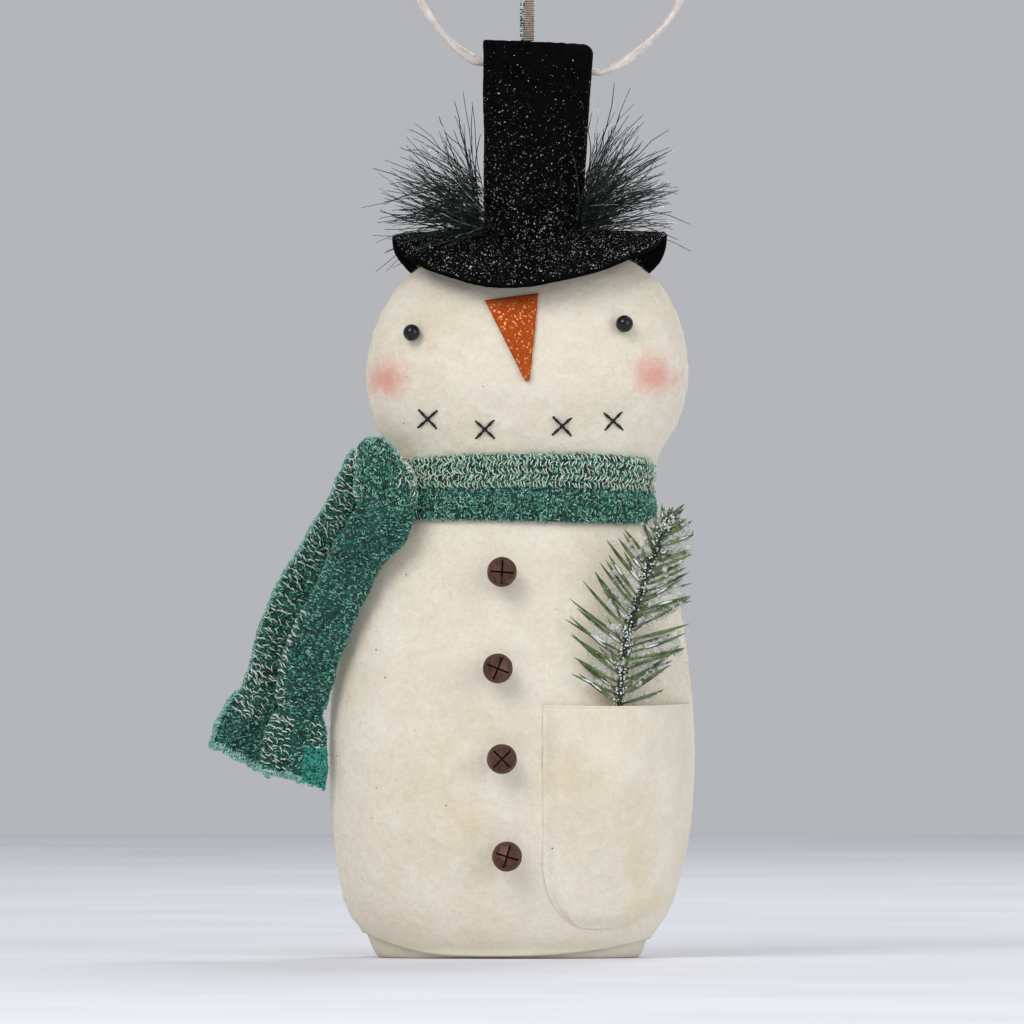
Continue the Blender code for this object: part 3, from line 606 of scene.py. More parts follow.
def make_base(material):
    """The cloth dish under the figure: flat below, with its rim tucked up behind the panels."""
    t, a = lattice(np.linspace(0, 1, 40), full_turn(220))
    c, s = (rounded(wave, 2.0 / SQUARENESS) for wave in (np.cos(a), np.sin(a)))
    rim = along(HEM, np.clip(BASE_REACH * c + OUTLINE[0][3], *HEM_ENDS))[..., 0] + 2.2 * MM
    in_floor = t < 0.5
    climb = np.where(in_floor, 0.0, within(2 * t - 1))
    z = rim * climb
    spread = np.where(in_floor, 2 * t, 1.0)
    corner = 1.0 * MM * np.exp(-z / (0.8 * MM))
    wide, deep = ((foot + (skin - CLOTH - 0.5 * MM - foot) * climb - corner) * spread
                  for foot, skin in zip(BASE_FOOT, np.moveaxis(along(OUTLINE, rim), -1, 0)))
    outer = xyz(OUTLINE[0][3] + wide * c, deep * s, z)
    rough = 0.12 * MM * lumps(outer[1:], 0.004, 15.0, 2) * (~in_floor[1:])
    outer[1:] += rough[..., None] * xyz(c, s, 0)[1:]
    inner = xyz(OUTLINE[0][3] + (wide - CLOTH * spread) * c, (deep - CLOTH * spread) * s,
                np.where(in_floor, BASE_CLOTH, np.maximum(z, BASE_CLOTH + 0.001 * MM * t)))
    outer[0] = outer[0].mean(0) + 0.3 * MM * xyz(c[0], s[0], 0)
    inner[0] = outer[0] + np.array([0, 0, BASE_CLOTH])
    return make_piece("base_cloth", *shell(outer, inner, True), material)


MOST_MOVE = 1.8 * MM  # how far the stuffing may push the cloth
FRAMES = 20
CLOTH_SETTINGS = {"vertex_group_mass": "held", "use_pressure": True, "uniform_pressure_force": 4.0,
                  "mass": 0.2, "tension_stiffness": 12.0, "bending_stiffness": 0.6}


def held_still(points):
    """1 where stitches, seams or a neighbour hold the body's cloth, 0 where it is free."""
    x, y, z = np.moveaxis(points, -1, 0)
    held = within(1.6 - np.abs(y) / 0.0045)
    for at_edge in ((0.016 - z) / 0.007, (z - 0.218) / 0.008, 1.5 - np.abs(z - NECK) / 0.012):
        held = np.maximum(held, within(at_edge))
    by_pocket = within((x - POCKET_LOW.x) / 0.003 + 1) * within((POCKET_HIGH.z - z) / 0.003 + 1)
    by_sprig = 0.8 * within((x - 0.016) / 0.008) * within((z - 0.080) / 0.004)
    by_tail = 0.8 * within((-0.030 - x) / 0.006) * within((z - 0.055) / 0.006) * (z < 0.15)
    by_stitch = [np.exp(-((np.hypot(x - place_x, z - place_z) / (radius * 0.8)) ** 4))
                 for place_x, place_z, radius, _ in DIMPLES]
    for share in (by_pocket, by_sprig, by_tail, *by_stitch):
        held = np.maximum(held, share * (y < 0))
    return held


def stuff():
    """Blow up a coarse copy of the figure with the cloth solver, and give its places and their moves."""
    rows, columns = 70, 110
    a, z = np.meshgrid(full_turn(columns), np.linspace(0.002, BODY_TOP, rows))
    faces = grid_faces(rows, columns, True)
    faces += [list(range(columns))[::-1], list(range((rows - 1) * columns, rows * columns))]
    mesh = bpy.data.meshes.new("stuffing_trial")
    mesh.from_pydata(body_at(z, a).reshape(-1, 3).tolist(), [], faces)
    ob = add_object("stuffing_trial", mesh)
    remesh = ob.modifiers.new("even", "REMESH")
    remesh.mode = "VOXEL"
    remesh.voxel_size = 0.0045
    bake_modifiers(ob)
    start = np.array([v.co for v in ob.data.vertices])
    held = held_still(start)
    group = ob.vertex_groups.new(name="held")
    for index, weight in enumerate(held):
        group.add([index], float(weight), "REPLACE")
    cloth = ob.modifiers.new("cloth", "CLOTH")
    cloth.point_cache.frame_end = FRAMES
    cloth.settings.effector_weights.gravity = 0.0
    for setting, value in CLOTH_SETTINGS.items():
        setattr(cloth.settings, setting, value)
    scene = bpy.context.scene
    for number in range(1, FRAMES + 1):
        scene.frame_set(number)
    blown = ob.evaluated_get(bpy.context.evaluated_depsgraph_get()).to_mesh()
    move = np.array([v.co for v in blown.vertices]) - start
    scene.frame_set(1)
    bpy.data.objects.remove(ob)
    length = np.linalg.norm(move, axis=1, keepdims=True)
    move *= np.minimum(1.0, MOST_MOVE / np.maximum(length, 1e-9)) * (1.0 - held[:, None])
    return start, move


def pushed(points, trial):
    """The moves of the coarse figure carried over to a panel's fine grid."""
    start, move = trial
    tree = KDTree(len(start))
    for index, place in enumerate(start):
        tree.insert(place, index)
    tree.balance()
    rows, columns = points.shape[:2]
    some_rows, some_columns = (np.linspace(0, n - 1, n // 4).astype(int) for n in (rows, columns))
    coarse = np.zeros((len(some_rows), len(some_columns), 3))
    for i, row in enumerate(some_rows):
        for j, column in enumerate(some_columns):
            found = tree.find_n(points[row, column], 4)
            weight = np.array([1.0 / (away + 0.6 * MM) for _, _, away in found])
            coarse[i, j] = (move[[index for _, index, _ in found]] * weight[:, None]).sum(0) / weight.sum()

    def spread(grid, keys, count):
        """The grid's first axis filled in between the keys."""
        lines = grid.reshape(len(keys), -1).T
        fine = np.array([np.interp(np.arange(count), keys, line) for line in lines])
        return fine.T.reshape(count, *grid.shape[1:])

    tall = spread(coarse, some_rows, rows)
    return spread(tall.swapaxes(0, 1), some_columns, columns).swapaxes(0, 1)


PUCKER_PITCH = 0.0062
SEAM_GAP = 0.05 * MM  # half the gap between the two panels
DIMPLES = []  # places where thread pulls the cloth in: X, Z, radius and depth


def pulled_in(points):
    """How far stitches draw the front cloth in at each point."""
    x, y, z = np.moveaxis(points, -1, 0)
    return sum(most * hump(np.hypot(x - at_x, z - at_z), radius) * (y < 0)
               for at_x, at_z, radius, most in DIMPLES)


def make_panel(name, start, end, material, seed, trial):
    """One cloth panel: a fine skin with soft lumps, puckers along its seam and pulled-in stitches."""
    columns, rows = 300, 420
    # Columns are spread evenly round the section, and rows lie closer half way up.
    lift = np.linspace(0.0, 1.0, rows)
    lift = lift + 0.035 * np.sin(2 * math.pi * lift)
    angle, lift = np.meshgrid(np.linspace(start, end, columns), within(lift))
    shape = body_at(np.full_like(angle, 0.007), angle)
    hem = along(HEM, np.clip(shape[..., 0], *HEM_ENDS))[..., 0]
    points = body_at(hem + (BODY_TOP - hem) * lift, angle)
    normal = unit(np.cross(np.gradient(points, axis=1), np.gradient(points, axis=0)))
    outward = points * np.array([1.0, 1.0, 0.0])
    normal = normal * np.where((normal * outward).sum(-1, keepdims=True) < 0, -1.0, 1.0)
    x, y, z = np.moveaxis(points, -1, 0)
    from_seam = np.abs(np.sin(angle))
    relief = noisy(points, ((0.55, 0.028, seed, 2),)) * within(from_seam / 0.16)
    relief += noisy(points, ((0.22, 0.007, seed + 1, 2),))
    relief += noisy(points, ((0.09, 0.0016, seed + 2, 2),))
    pucker = np.sin(z * 2 * math.pi / PUCKER_PITCH + 2.0 * lumps(points, 0.02, seed + 3))
    relief += hump(from_seam, 0.10) * (0.18 * MM * pucker - 0.20 * MM)
    relief -= 0.55 * MM * hump(from_seam, 0.018)
    under_pocket = (y < 0) * within((x - POCKET_LOW.x) / 0.002)
    under_pocket *= within((POCKET_HIGH.z + 0.002 - z) / 0.003)
    relief *= 1.0 - 0.75 * under_pocket
    relief -= pulled_in(points)
    if trial:
        points = points + pushed(points, trial)
    outer = points + normal * relief[..., None]
    inner = points - normal * CLOTH
    side = -1.0 if start < 0 else 1.0
    for grid in (outer, inner):
        x, y, z = np.moveaxis(grid, -1, 0)
        brim, away = brim_over(grid)
        lid = np.where((away < 1.05) & (z > 0.2), brim - BRIM_FELT - 0.5 * MM, 1.0)
        grid[..., 2] = np.maximum(np.minimum(z, lid), 0.2 * MM)
        grid[..., 1] = side * np.maximum(side * y, SEAM_GAP)
    return make_piece(name, *shell(outer, inner), material), outer, normal


def make_nap(name, surface, normal, material, count, seed):
    """Short loose fibres standing off the cloth."""
    rng = np.random.default_rng(seed)
    rows, columns = surface.shape[:2]
    i, j = rng.integers(4, rows - 4, count), rng.integers(2, columns - 2, count)
    place, out = surface[i, j], normal[i, j]
    x, y, z = place.T
    clear = ~((y < 0) & (x > POCKET_LOW.x) & (z < POCKET_HIGH.z)) & (np.abs(z - NECK) > 0.014)
    place, out = place[clear], out[clear]
    count = len(place)
    way = unit(out + rng.normal(0, 0.75, (count, 3)))
    t = np.array([0.0, 0.5, 1.0])[None, :, None]
    size = rng.uniform(0.35, 1.15, (count, 1, 1)) * MM
    curl = rng.normal(0, 0.5, (count, 1, 3))
    paths = place[:, None] + way[:, None] * size * t + curl * size * t**2
    radii = rng.uniform(0.028, 0.05, (count, 1)) * MM * np.array([[1.0, 0.8, 0.4]])
    settle(make_piece(name, *strands(paths, radii), material), "figure", "batting")


# ---------------------------------------------------------------- face

EYES = (("eye_left", -0.0340, 0.2122), ("eye_right", 0.0381, 0.2152))
CROSSES = (  # X, Z and the lean of one thread
    (-0.0286, 0.1829, 42), (-0.0092, 0.1794, 46), (0.0170, 0.1805, 42), (0.0343, 0.1822, 47))
CROSS_HALF = 0.0044  # half the length of each thread
DIMPLES += [(x, z, 0.0052, 0.9 * MM) for _, x, z in EYES]
DIMPLES += [(x, z, 0.0050, 0.45 * MM) for x, z, _ in CROSSES]
for number in range(1, 5):
    low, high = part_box(f"bell_{number}_shell")
    DIMPLES.append(((low.x + high.x) / 2, (low.z + high.z) / 2, 0.0055, 0.6 * MM))


def make_eyes(material):
    """Round glass beads with a slightly uneven surface, sewn down through their middles."""
    rings, around = 22, 40
    theta, phi = lattice(np.linspace(0, math.pi, rings + 2)[1:-1], full_turn(around))
    ball = xyz(np.sin(theta) * np.cos(phi), np.sin(theta) * np.sin(phi), np.cos(theta))
    ball = np.concatenate([ball.reshape(-1, 3), [(0, 0, 1.0), (0, 0, -1.0)]])
    ball = ball * (1.0 + 0.015 * lumps(ball, 0.8, 3.0)[:, None])
    faces = grid_faces(rings, around, True) + cap_faces(rings, around)
    for name, _, _ in EYES:
        low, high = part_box(name)
        points = ball * (high.x - low.x) / 2 + np.array((low + high) / 2)
        settle(make_piece(name + "_bead", points, faces, material), "figure", "bead", name)


def make_crosses(material):
    """Two crossed threads for each stitch, lying on the cloth with their ends drawn into it."""
    share = np.linspace(-1.0, 1.0, 15)
    for number, (x, z, degrees) in enumerate(CROSSES, 1):
        heap = Heap()
        for lean, over in ((degrees, 0.0), (degrees + 92, 1.0)):
            way = np.array([math.cos(math.radians(lean)), math.sin(math.radians(lean))])
            px, pz = x + way[0] * CROSS_HALF * share, z + way[1] * CROSS_HALF * share
            lift = (0.75 * MM + over * 0.45 * MM) * (1 - share**4) - 0.55 * MM - 0.45 * MM * (1 - share**2)
            path = xyz(px, front_y(px, pz) - lift, pz)
            for turn in (share * 5.5, share * 5.5 + math.pi):
                wound = xyz(-way[1] * np.cos(turn), -np.sin(turn), way[0] * np.cos(turn))
                heap.add(*rod(path + 0.20 * MM * wound, 0.33 * MM, 7))
        settle(heap.piece(f"mouth_cross_{number}", material), "figure", "thread", f"mouth_stitch_{number}")


NOSE = ((-0.0092, 0.2232), (0.0090, 0.2256), (0.0052, 0.1955))  # the felt's corners, X and Z
NOSE_TIP = 0.0009  # half width of its blunt point
NOSE_THICKNESS = 1.4 * MM


def make_nose(material, flakes):
    """A felt triangle glued to the face, slightly cupped, with glitter on it."""
    (x0, z0), (x1, z1), (x2, z2) = NOSE
    rows, columns = 46, 30
    t, s = lattice(np.linspace(0, 1, rows), np.linspace(-1, 1, columns))
    top = (x0 + x1) / 2 + s * (x1 - x0) / 2, (z0 + z1) / 2 + s * (z1 - z0) / 2
    tip = x2 + s * NOSE_TIP, z2 + 0.0006 * s**2
    x, z = (high * (1 - t) + low * t for high, low in zip(top, tip))
    x = x + noisy(xyz(x, 0, z), ((0.14, 0.004, 9.0, 2),)) * np.abs(s) ** 6
    round_edge = (1 - np.abs(s) ** 8) * (1 - (2 * t - 1) ** 16)
    foot = front_y(x, z) - 0.15 * MM
    rise = NOSE_THICKNESS * (0.45 + 0.55 * round_edge) + 0.5 * MM * np.sin(math.pi * t) * (1 - s**2)
    outer = xyz(x, foot - rise, z)
    outer[..., 1] += noisy(outer, ((0.10, 0.0012, 4.0, 2),))
    ob = make_piece("nose_felt", *shell(outer, xyz(x, foot, z)), material)
    settle(ob, "figure", "orange_felt", "nose")
    rng = random.Random(5)
    heap = Heap()
    for _ in range(520):
        i, j = rng.randrange(1, rows - 1), rng.randrange(1, columns - 1)
        heap.add(*flake(outer[i, j], (0.0, -1.0, 0.0), rng.uniform(0.03, 0.08) * MM, rng))
    settle(heap.piece("nose_glitter", flakes, smooth=False), "figure", "orange_felt")


# ---------------------------------------------------------------- hat

BRIM_LOW, BRIM_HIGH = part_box("hat_brim")
CROWN_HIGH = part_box("hat_crown")[1]
BRIM_X = (BRIM_LOW.x + BRIM_HIGH.x) / 2
BRIM_HALF = ((BRIM_HIGH.x - BRIM_LOW.x) / 2, (BRIM_HIGH.y - BRIM_LOW.y) / 2)
BRIM_TOP = BRIM_HIGH.z
BRIM_SQUARENESS = 2.3
BRIM_FELT = 2.3 * MM
BRIM_SIDE_DROP = 0.0013  # how far it falls at its side tips
BRIM_DROP = (0.0193, 0.0220)  # and at its front and its back
BRIM_FOLD = (1.5, 0.8)
BRIM_SKEW = (0.0020, 0.0058)  # the front falls further on its left and less on its right
CROWN_FOOT = (0.0070, 0.0166, 0.0135)  # centre X, half width and half depth
CROWN_TOP = (0.0089, 0.0187, 0.0145)
CROWN_SQUARENESS = 2.6
CROWN_ROWS = 89  # rings of points up its wall
CROWN_TILT = 0.045  # the lid's slope, down to the right


def brim_z(x, y):
    across = (x - BRIM_X) / BRIM_HALF[0]
    deep = np.hypot(np.asarray(y) / BRIM_HALF[1], 0.06) - 0.06
    skew = BRIM_SKEW[0] * np.maximum(-across, 0) - BRIM_SKEW[1] * np.maximum(across, 0)
    front = BRIM_DROP[0] * deep ** BRIM_FOLD[0] + skew * deep
    back = BRIM_DROP[1] * deep ** BRIM_FOLD[1]
    return BRIM_TOP - BRIM_SIDE_DROP * across**2 - np.where(np.asarray(y) < 0, front, back)


def brim_over(points):
    """The brim's height over or under some points, and how far out they are: 1 at its edge."""
    x, y = points[..., 0], points[..., 1]
    away = ((x - BRIM_X) / BRIM_HALF[0]) ** 2 + (y / BRIM_HALF[1]) ** 2
    return brim_z(x, np.clip(y, -BRIM_HALF[1], BRIM_HALF[1])), away


def make_brim(material):
    """A felt disc that falls to front and back, with a soft wave along its edge."""
    share, angle = lattice(np.linspace(0.05, 1.0, 60), full_turn(300))
    c, s = np.cos(angle), np.sin(angle)
    x = BRIM_X + BRIM_HALF[0] * share * rounded(c, 2.0 / BRIM_SQUARENESS)
    y = BRIM_HALF[1] * share * rounded(s, 2.0 / BRIM_SQUARENESS)
    wave = 0.4 * MM * np.sin(5 * angle + 0.6) * share**4 + 0.25 * MM * np.sin(9 * angle + 2.0) * share**6
    outer = xyz(x, y, brim_z(x, y) + wave)
    outer[..., 2] += noisy(outer, ((0.16, 0.004, 11.0, 2),))
    edge = within((1 - share) / 0.02)
    thick = BRIM_FELT * (0.55 + 0.45 * np.sqrt(1 - (1 - edge) ** 2))
    inner = outer - xyz(0, 0, thick)
    outer[..., 2] -= (BRIM_FELT - thick) * 0.6
    middle = (outer[-1] + inner[-1]) / 2 + xyz(0.35 * MM * c[-1], 0.35 * MM * s[-1], 0)
    outer = np.concatenate([outer, middle[None]])
    inner = np.concatenate([inner, middle[None] - np.array([0, 0, 0.02 * MM])])
    return make_piece("brim_felt", *shell(outer, inner, True), material), outer


def crown_at(share, angle, shrink=1.0):
    centre, wide, deep = (foot + (top - foot) * share for foot, top in zip(CROWN_FOOT, CROWN_TOP))
    power = 2.0 / CROWN_SQUARENESS
    return (centre + wide * shrink * rounded(np.cos(angle), power),
            deep * shrink * rounded(np.sin(angle), power))


def make_crown(material):
    """A stiff felt tube with a rounded top edge, tighter on its left, and a slightly sunken lid."""
    columns = 220
    angle = full_turn(columns)[None, :]
    soft = 0.105 + 0.060 * np.cos(angle)  # how much each side's top edge is rounded
    drop = soft * 0.36
    # Each ring's share of the height and of the tube's width.
    wall = [((1 - drop) * k / CROWN_ROWS, np.ones_like(angle)) for k in range(CROWN_ROWS + 1)]
    bends = [k / 9 * math.pi / 2 for k in range(1, 10)]
    edge = [(1 - drop + drop * math.sin(a), 1.0 - soft * (1 - math.cos(a))) for a in bends]
    sunk = [0.012 * math.sin(k / 13 * math.pi / 2) for k in range(1, 14)]
    lid = [(np.full_like(angle, 1.0 - low), (1.0 - soft) * (1 - k / 13.6)) for k, low in enumerate(sunk, 1)]
    share, shrink = (np.concatenate(part) for part in zip(*wall, *edge, *lid))
    x, y = crown_at(share, angle, shrink)
    foot_z = brim_z(x, y) - 0.2 * MM
    points = xyz(x, y, foot_z + (CROWN_HIGH.z - CROWN_TILT * (x - BRIM_X) - foot_z) * share)
    buckle = 0.35 * MM * lumps(points * np.array([1, 1, 0.6]), 0.011, 21.0, 2)
    buckle += noisy(points, ((0.14, 0.002, 22.0, 2),))
    seam = hump(angle - math.pi / 2, 0.035) * 0.7 * MM
    body = within(share / 0.05) * within(shrink / 0.5)
    points += xyz(np.cos(angle), np.sin(angle), 0) * ((buckle - seam) * body)[..., None]
    points[..., 2] += noisy(points, ((0.25, 0.0022, 23.0, 2),)) * (share > 0.9) * within(shrink / 0.5)
    inner = points.copy()
    inner[..., 0] = BRIM_X + (inner[..., 0] - BRIM_X) * 0.9
    inner[..., 1] *= 0.88
    inner[..., 2] -= np.where(shrink < 0.9, FELT, 0.0)
    mesh_points, faces = shell(points, inner, True)
    # The lid is capped on both skins, in place of the rim that joined them at its middle.
    count, lid_start = share.size, share.size - columns
    faces = [f for f in faces if not (min(f) >= lid_start and min(f) < count and max(f) >= count)]
    faces += [list(range(lid_start, count)), list(range(lid_start + count, 2 * count))[::-1]]
    return make_piece("crown_felt", mesh_points, faces, material), points


def between(grid, i, j, rng):
    """A spot inside one cell of a grid that closes on itself along its columns."""
    f, g = rng.random(), rng.random()
    k = (j + 1) % grid.shape[1]
    low, high = (grid[row, j] * (1 - f) + grid[row, k] * f for row in (i, i + 1))
    return low * (1 - g) + high * g


def scatter_glitter(brim, crown, material):
    """Glitter flakes on the hat: thickest on the brim and up the middle of the crown."""
    rng = random.Random(12)
    heap = Heap()

    def add_flake(place, normal):
        size = rng.uniform(0.06, 0.15) if rng.random() < 0.80 else rng.uniform(0.15, 0.27)
        heap.add(*flake(place, normal, size * MM, rng))

    rows, columns = brim.shape[:2]
    for _ in range(9000):
        i = int(rows * math.sqrt(rng.uniform(0.12, 0.97)))
        place = between(brim, min(i, rows - 3), rng.randrange(columns), rng)
        if place[1] <= 0 or rng.random() >= 0.65:
            add_flake(place + (0, 0, 0.08 * MM), (0, place[1] * 28, 1.0))
    columns = crown.shape[1]
    placed = 0
    while placed < 5200:
        i, j = rng.randrange(0, CROWN_ROWS + 1), rng.randrange(columns)
        side = abs(crown[i, j, 0] - BRIM_X) / 0.017
        if rng.random() > (1.05 - 1.0 * (i / (CROWN_ROWS - 1)) ** 0.9) * (1.0 - 0.55 * side):
            continue
        place = between(crown, i, j, rng)
        away = unit(np.array([place[0] - BRIM_X, place[1], 0.0]))
        add_flake(place + away * 0.06 * MM, away)
        placed += 1
    settle(heap.piece("hat_glitter", material, smooth=False), "figure", "black_felt")


# ---------------------------------------------------------------- garland

GARLAND_REACH = math.radians(34)  # how far each end comes forward of the crown's sides
GARLAND_COUNTS = (("dark", 560), ("green", 110), ("silver", 60))
GARLAND_WIDE, GARLAND_DEEP = 0.046, 0.034  # past these distances from the crown's middle strips are drawn in


def make_garland(materials):
    """Tinsel round the foot of the crown: straight fine strips standing out, bent here and there."""
    rng = np.random.default_rng(31)
    steps = np.linspace(0, 1, 6)[None, :, None]
    for (name, count), material in zip(GARLAND_COUNTS, materials):
        sides = np.where(rng.random(count) < 0.5, 0.0, math.pi)
        a = np.where(rng.random(count) < 0.72, sides + rng.normal(0, 0.42, count),
                     rng.uniform(-GARLAND_REACH, math.pi + GARLAND_REACH, count))
        x, y = crown_at(0.05, a)
        outward = unit(xyz(np.cos(a) * CROWN_FOOT[1], np.sin(a) * CROWN_FOOT[2], 0))
        start = xyz(x, y, 0) + outward * (rng.uniform(0.5, 3.5, count) * MM)[:, None]
        climb = rng.random(count) ** 1.7 * np.abs(np.cos(a)) ** 2
        start[:, 2] = brim_z(start[:, 0], start[:, 1]) + (0.5 + 18.5 * climb) * MM
        rise = np.radians(rng.triangular(-8, 22, 78, count) + 12 * climb)
        flat = (rng.random(count) < 0.30) & (np.cos(a) < 0.3)
        rise = np.where(flat, np.radians(rng.uniform(-12, 4, count)), rise)
        swing = rng.normal(0, 0.42, count)
        c, s = np.cos(swing), np.sin(swing)
        flat_way = xyz(outward[:, 0] * c - outward[:, 1] * s, outward[:, 0] * s + outward[:, 1] * c, 0)
        way = unit(flat_way * np.cos(rise)[:, None] + np.array([0, 0, 1.0]) * np.sin(rise)[:, None])
        full = rng.random(count) < 0.62
        long = np.where(full, rng.uniform(0.024, 0.037, count), rng.uniform(0.009, 0.023, count))
        long = long[:, None, None]
        bend = rng.normal(0, 0.10, (count, 1, 3)) + np.array([0, 0, -0.05])
        kink = rng.normal(0, 0.014, (count, 6, 3))
        paths = start[:, None] + way[:, None] * long * steps + bend * long * steps**2 + kink * long * steps
        reach = np.abs(paths[..., 0] - BRIM_X)
        drawn = GARLAND_WIDE + (reach - GARLAND_WIDE) * 0.7
        squeeze = np.where(reach > GARLAND_WIDE, drawn / np.maximum(reach, 1e-6), 1.0)
        paths[..., 0] = BRIM_X + (paths[..., 0] - BRIM_X) * squeeze
        deep = np.abs(paths[..., 1])
        drawn = GARLAND_DEEP + (deep - GARLAND_DEEP) * 0.35
        paths[..., 1] = np.sign(paths[..., 1]) * np.where(deep > GARLAND_DEEP, drawn, deep)
        floor, away = brim_over(paths)
        floor, inside = floor + 0.4 * MM, away < 1.0
        paths[..., 2] = np.where(inside, np.maximum(paths[..., 2], floor), paths[..., 2])
        thick = rng.uniform(0.13, 0.21, (count, 1)) * MM * np.array([[0.9, 1.0, 1.0, 0.95, 0.85, 0.6]])
        ob = make_piece(f"garland_strips_{name}", *strands(paths, thick), material)
        settle(ob, "figure", "tinsel", *(("garland_tinsel",) if name == "dark" else ()))


# ---------------------------------------------------------------- bells

BELLS = (4, 22, 45, 17)  # how far each bell's cross slot is turned, in degrees


def make_bells(material):
    """Rusted jingle bells: a crimped seam round the middle and a cross slot through the face."""
    around = 64
    theta, phi = lattice(np.linspace(0.0, math.pi, 36)[1:-1], full_turn(around))
    crimped = np.sin(theta) + 0.045 * hump(theta - math.pi / 2, 0.07)
    ball = xyz(crimped * np.cos(phi), -np.cos(theta) * 0.96, crimped * np.sin(phi))
    count = theta.size
    faces = grid_faces(len(ball), around, True)
    faces += [face[::-1] for face in grid_faces(len(ball), around, True, count)]
    for first in (0, count, count - around, 2 * count - around):
        faces.append(list(range(first, first + around)))
    for number, degrees in enumerate(BELLS, 1):
        node = f"bell_{number}_shell"
        low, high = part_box(node)
        radius = (high.x - low.x) / 2
        dent = 1.0 + 0.018 * lumps(ball + number, 0.5, number * 3.0, 2)
        outer = (ball * dent[..., None] * (radius * 0.985)).reshape(-1, 3)
        ob = make_piece(f"bell_{number}_tin", np.concatenate([outer, outer * 0.88]), faces, material)
        turn = Matrix.Rotation(math.radians(degrees), 4, "Y")
        for quarter in (0, 90):
            slot = slot_cutter(radius * 1.58, 0.62 * MM, radius * 1.3)
            slot.data.transform(turn @ Matrix.Rotation(math.radians(quarter), 4, "Y"))
            cut = ob.modifiers.new("slot", "BOOLEAN")
            cut.operation = "DIFFERENCE"
            cut.object = slot
            bake_modifiers(ob)
            bpy.data.objects.remove(slot, do_unlink=True)
        ob.data.transform(Matrix.Translation((low + high) / 2))
        ob.data.shade_smooth()
        ob.data.set_sharp_from_angle(angle=math.radians(40))
        settle(ob, f"bell_{number}", "rust", node)


def slot_cutter(length, width, depth):
    """A bar that cuts one slot across a bell's face."""
    bm = bmesh.new()
    bmesh.ops.create_cube(bm, size=1.0)
    place = Matrix.Translation((0, -depth / 2 - 0.6 * MM, 0)) @ Matrix.Diagonal((length, depth, width, 1))
    bmesh.ops.transform(bm, verts=bm.verts, matrix=place)
    mesh = bpy.data.meshes.new("slot")
    bm.to_mesh(mesh)
    bm.free()
    return add_object("slot", mesh)


def bake_modifiers(ob):
    """Replaces a piece's mesh by what its modifiers make of it."""
    bpy.context.view_layer.update()
    done = bpy.data.meshes.new_from_object(ob.evaluated_get(bpy.context.evaluated_depsgraph_get()))
    ob.modifiers.clear()
    ob.data = done


# ---------------------------------------------------------------- scarf

STITCH = (1.25 * MM, 1.5 * MM)  # pitch of the knit along and across a strip
KNIT_DEPTH = 0.30 * MM
BAND_THICKNESS = 4.0 * MM
BAND_RIGHT = 0.0452  # past this X the band is drawn in towards the neck


def strip_uv(u, v):
    """Texture places on a strip, one unit to 20 mm."""
    return np.stack([u / 0.02, v / 0.02], -1).reshape(-1, 2)


def knit_relief(u, v):
    """Height of V-shaped knit stitches, from 0 to 1, with u along their columns and v across, in metres."""
    lean = np.abs(((v / STITCH[1]) % 1.0) - 0.5)
    row = u / STITCH[0] + lean * 1.1
    return 0.5 + 0.5 * np.sin(2 * math.pi * row) * (1 - (2 * lean - 0.5) ** 2 * 1.2)


def terry(name, surface, normal, way, density, paint, body, seed, where=None, span=(0.7, 1.25), rise=0.45):
    """Small yarn loops all over a strip, lying mostly along the given way."""
    rng = np.random.default_rng(seed)
    cell = np.linalg.norm(np.cross(np.gradient(surface, axis=0), np.gradient(surface, axis=1)), axis=-1)
    weight = cell if where is None else cell * where
    count = int(weight.sum() * 1e6 * density)
    pick = rng.choice(weight.size, count, p=(weight / weight.sum()).ravel())
    place, out = surface.reshape(-1, 3)[pick], normal.reshape(-1, 3)[pick]
    lie = np.broadcast_to(way, surface.shape).reshape(-1, 3)[pick]
    lie = unit(lie + rng.normal(0, 0.75, (count, 3)))
    lie = unit(lie - out * (lie * out).sum(-1, keepdims=True))
    place = place + lie * rng.uniform(-0.4, 0.4, (count, 1)) * MM
    size = rng.uniform(span[0], span[1], (count, 1, 1)) * MM
    t = np.array([-0.5, -0.18, 0.18, 0.5])[None, :, None]
    side = np.cross(out, lie) * rng.normal(0, 0.25, (count, 1))
    height = rng.uniform(0.5, 1.2, (count, 1, 1)) * rise * MM
    paths = place[:, None] + lie[:, None] * size * t + out[:, None] * (height * (1 - 5.0 * t**2))
    paths = paths + side[:, None] * size * (1 - 4 * t**2)
    radii = rng.uniform(0.12, 0.20, (count, 1)) * MM * np.array([[0.8, 1.0, 1.0, 0.8]])
    points, faces = strands(paths, radii)
    shade = np.repeat(rng.random(count), len(points) // count)
    return settle(make_piece(name, points, faces, paint, shade=shade), body, "knit")


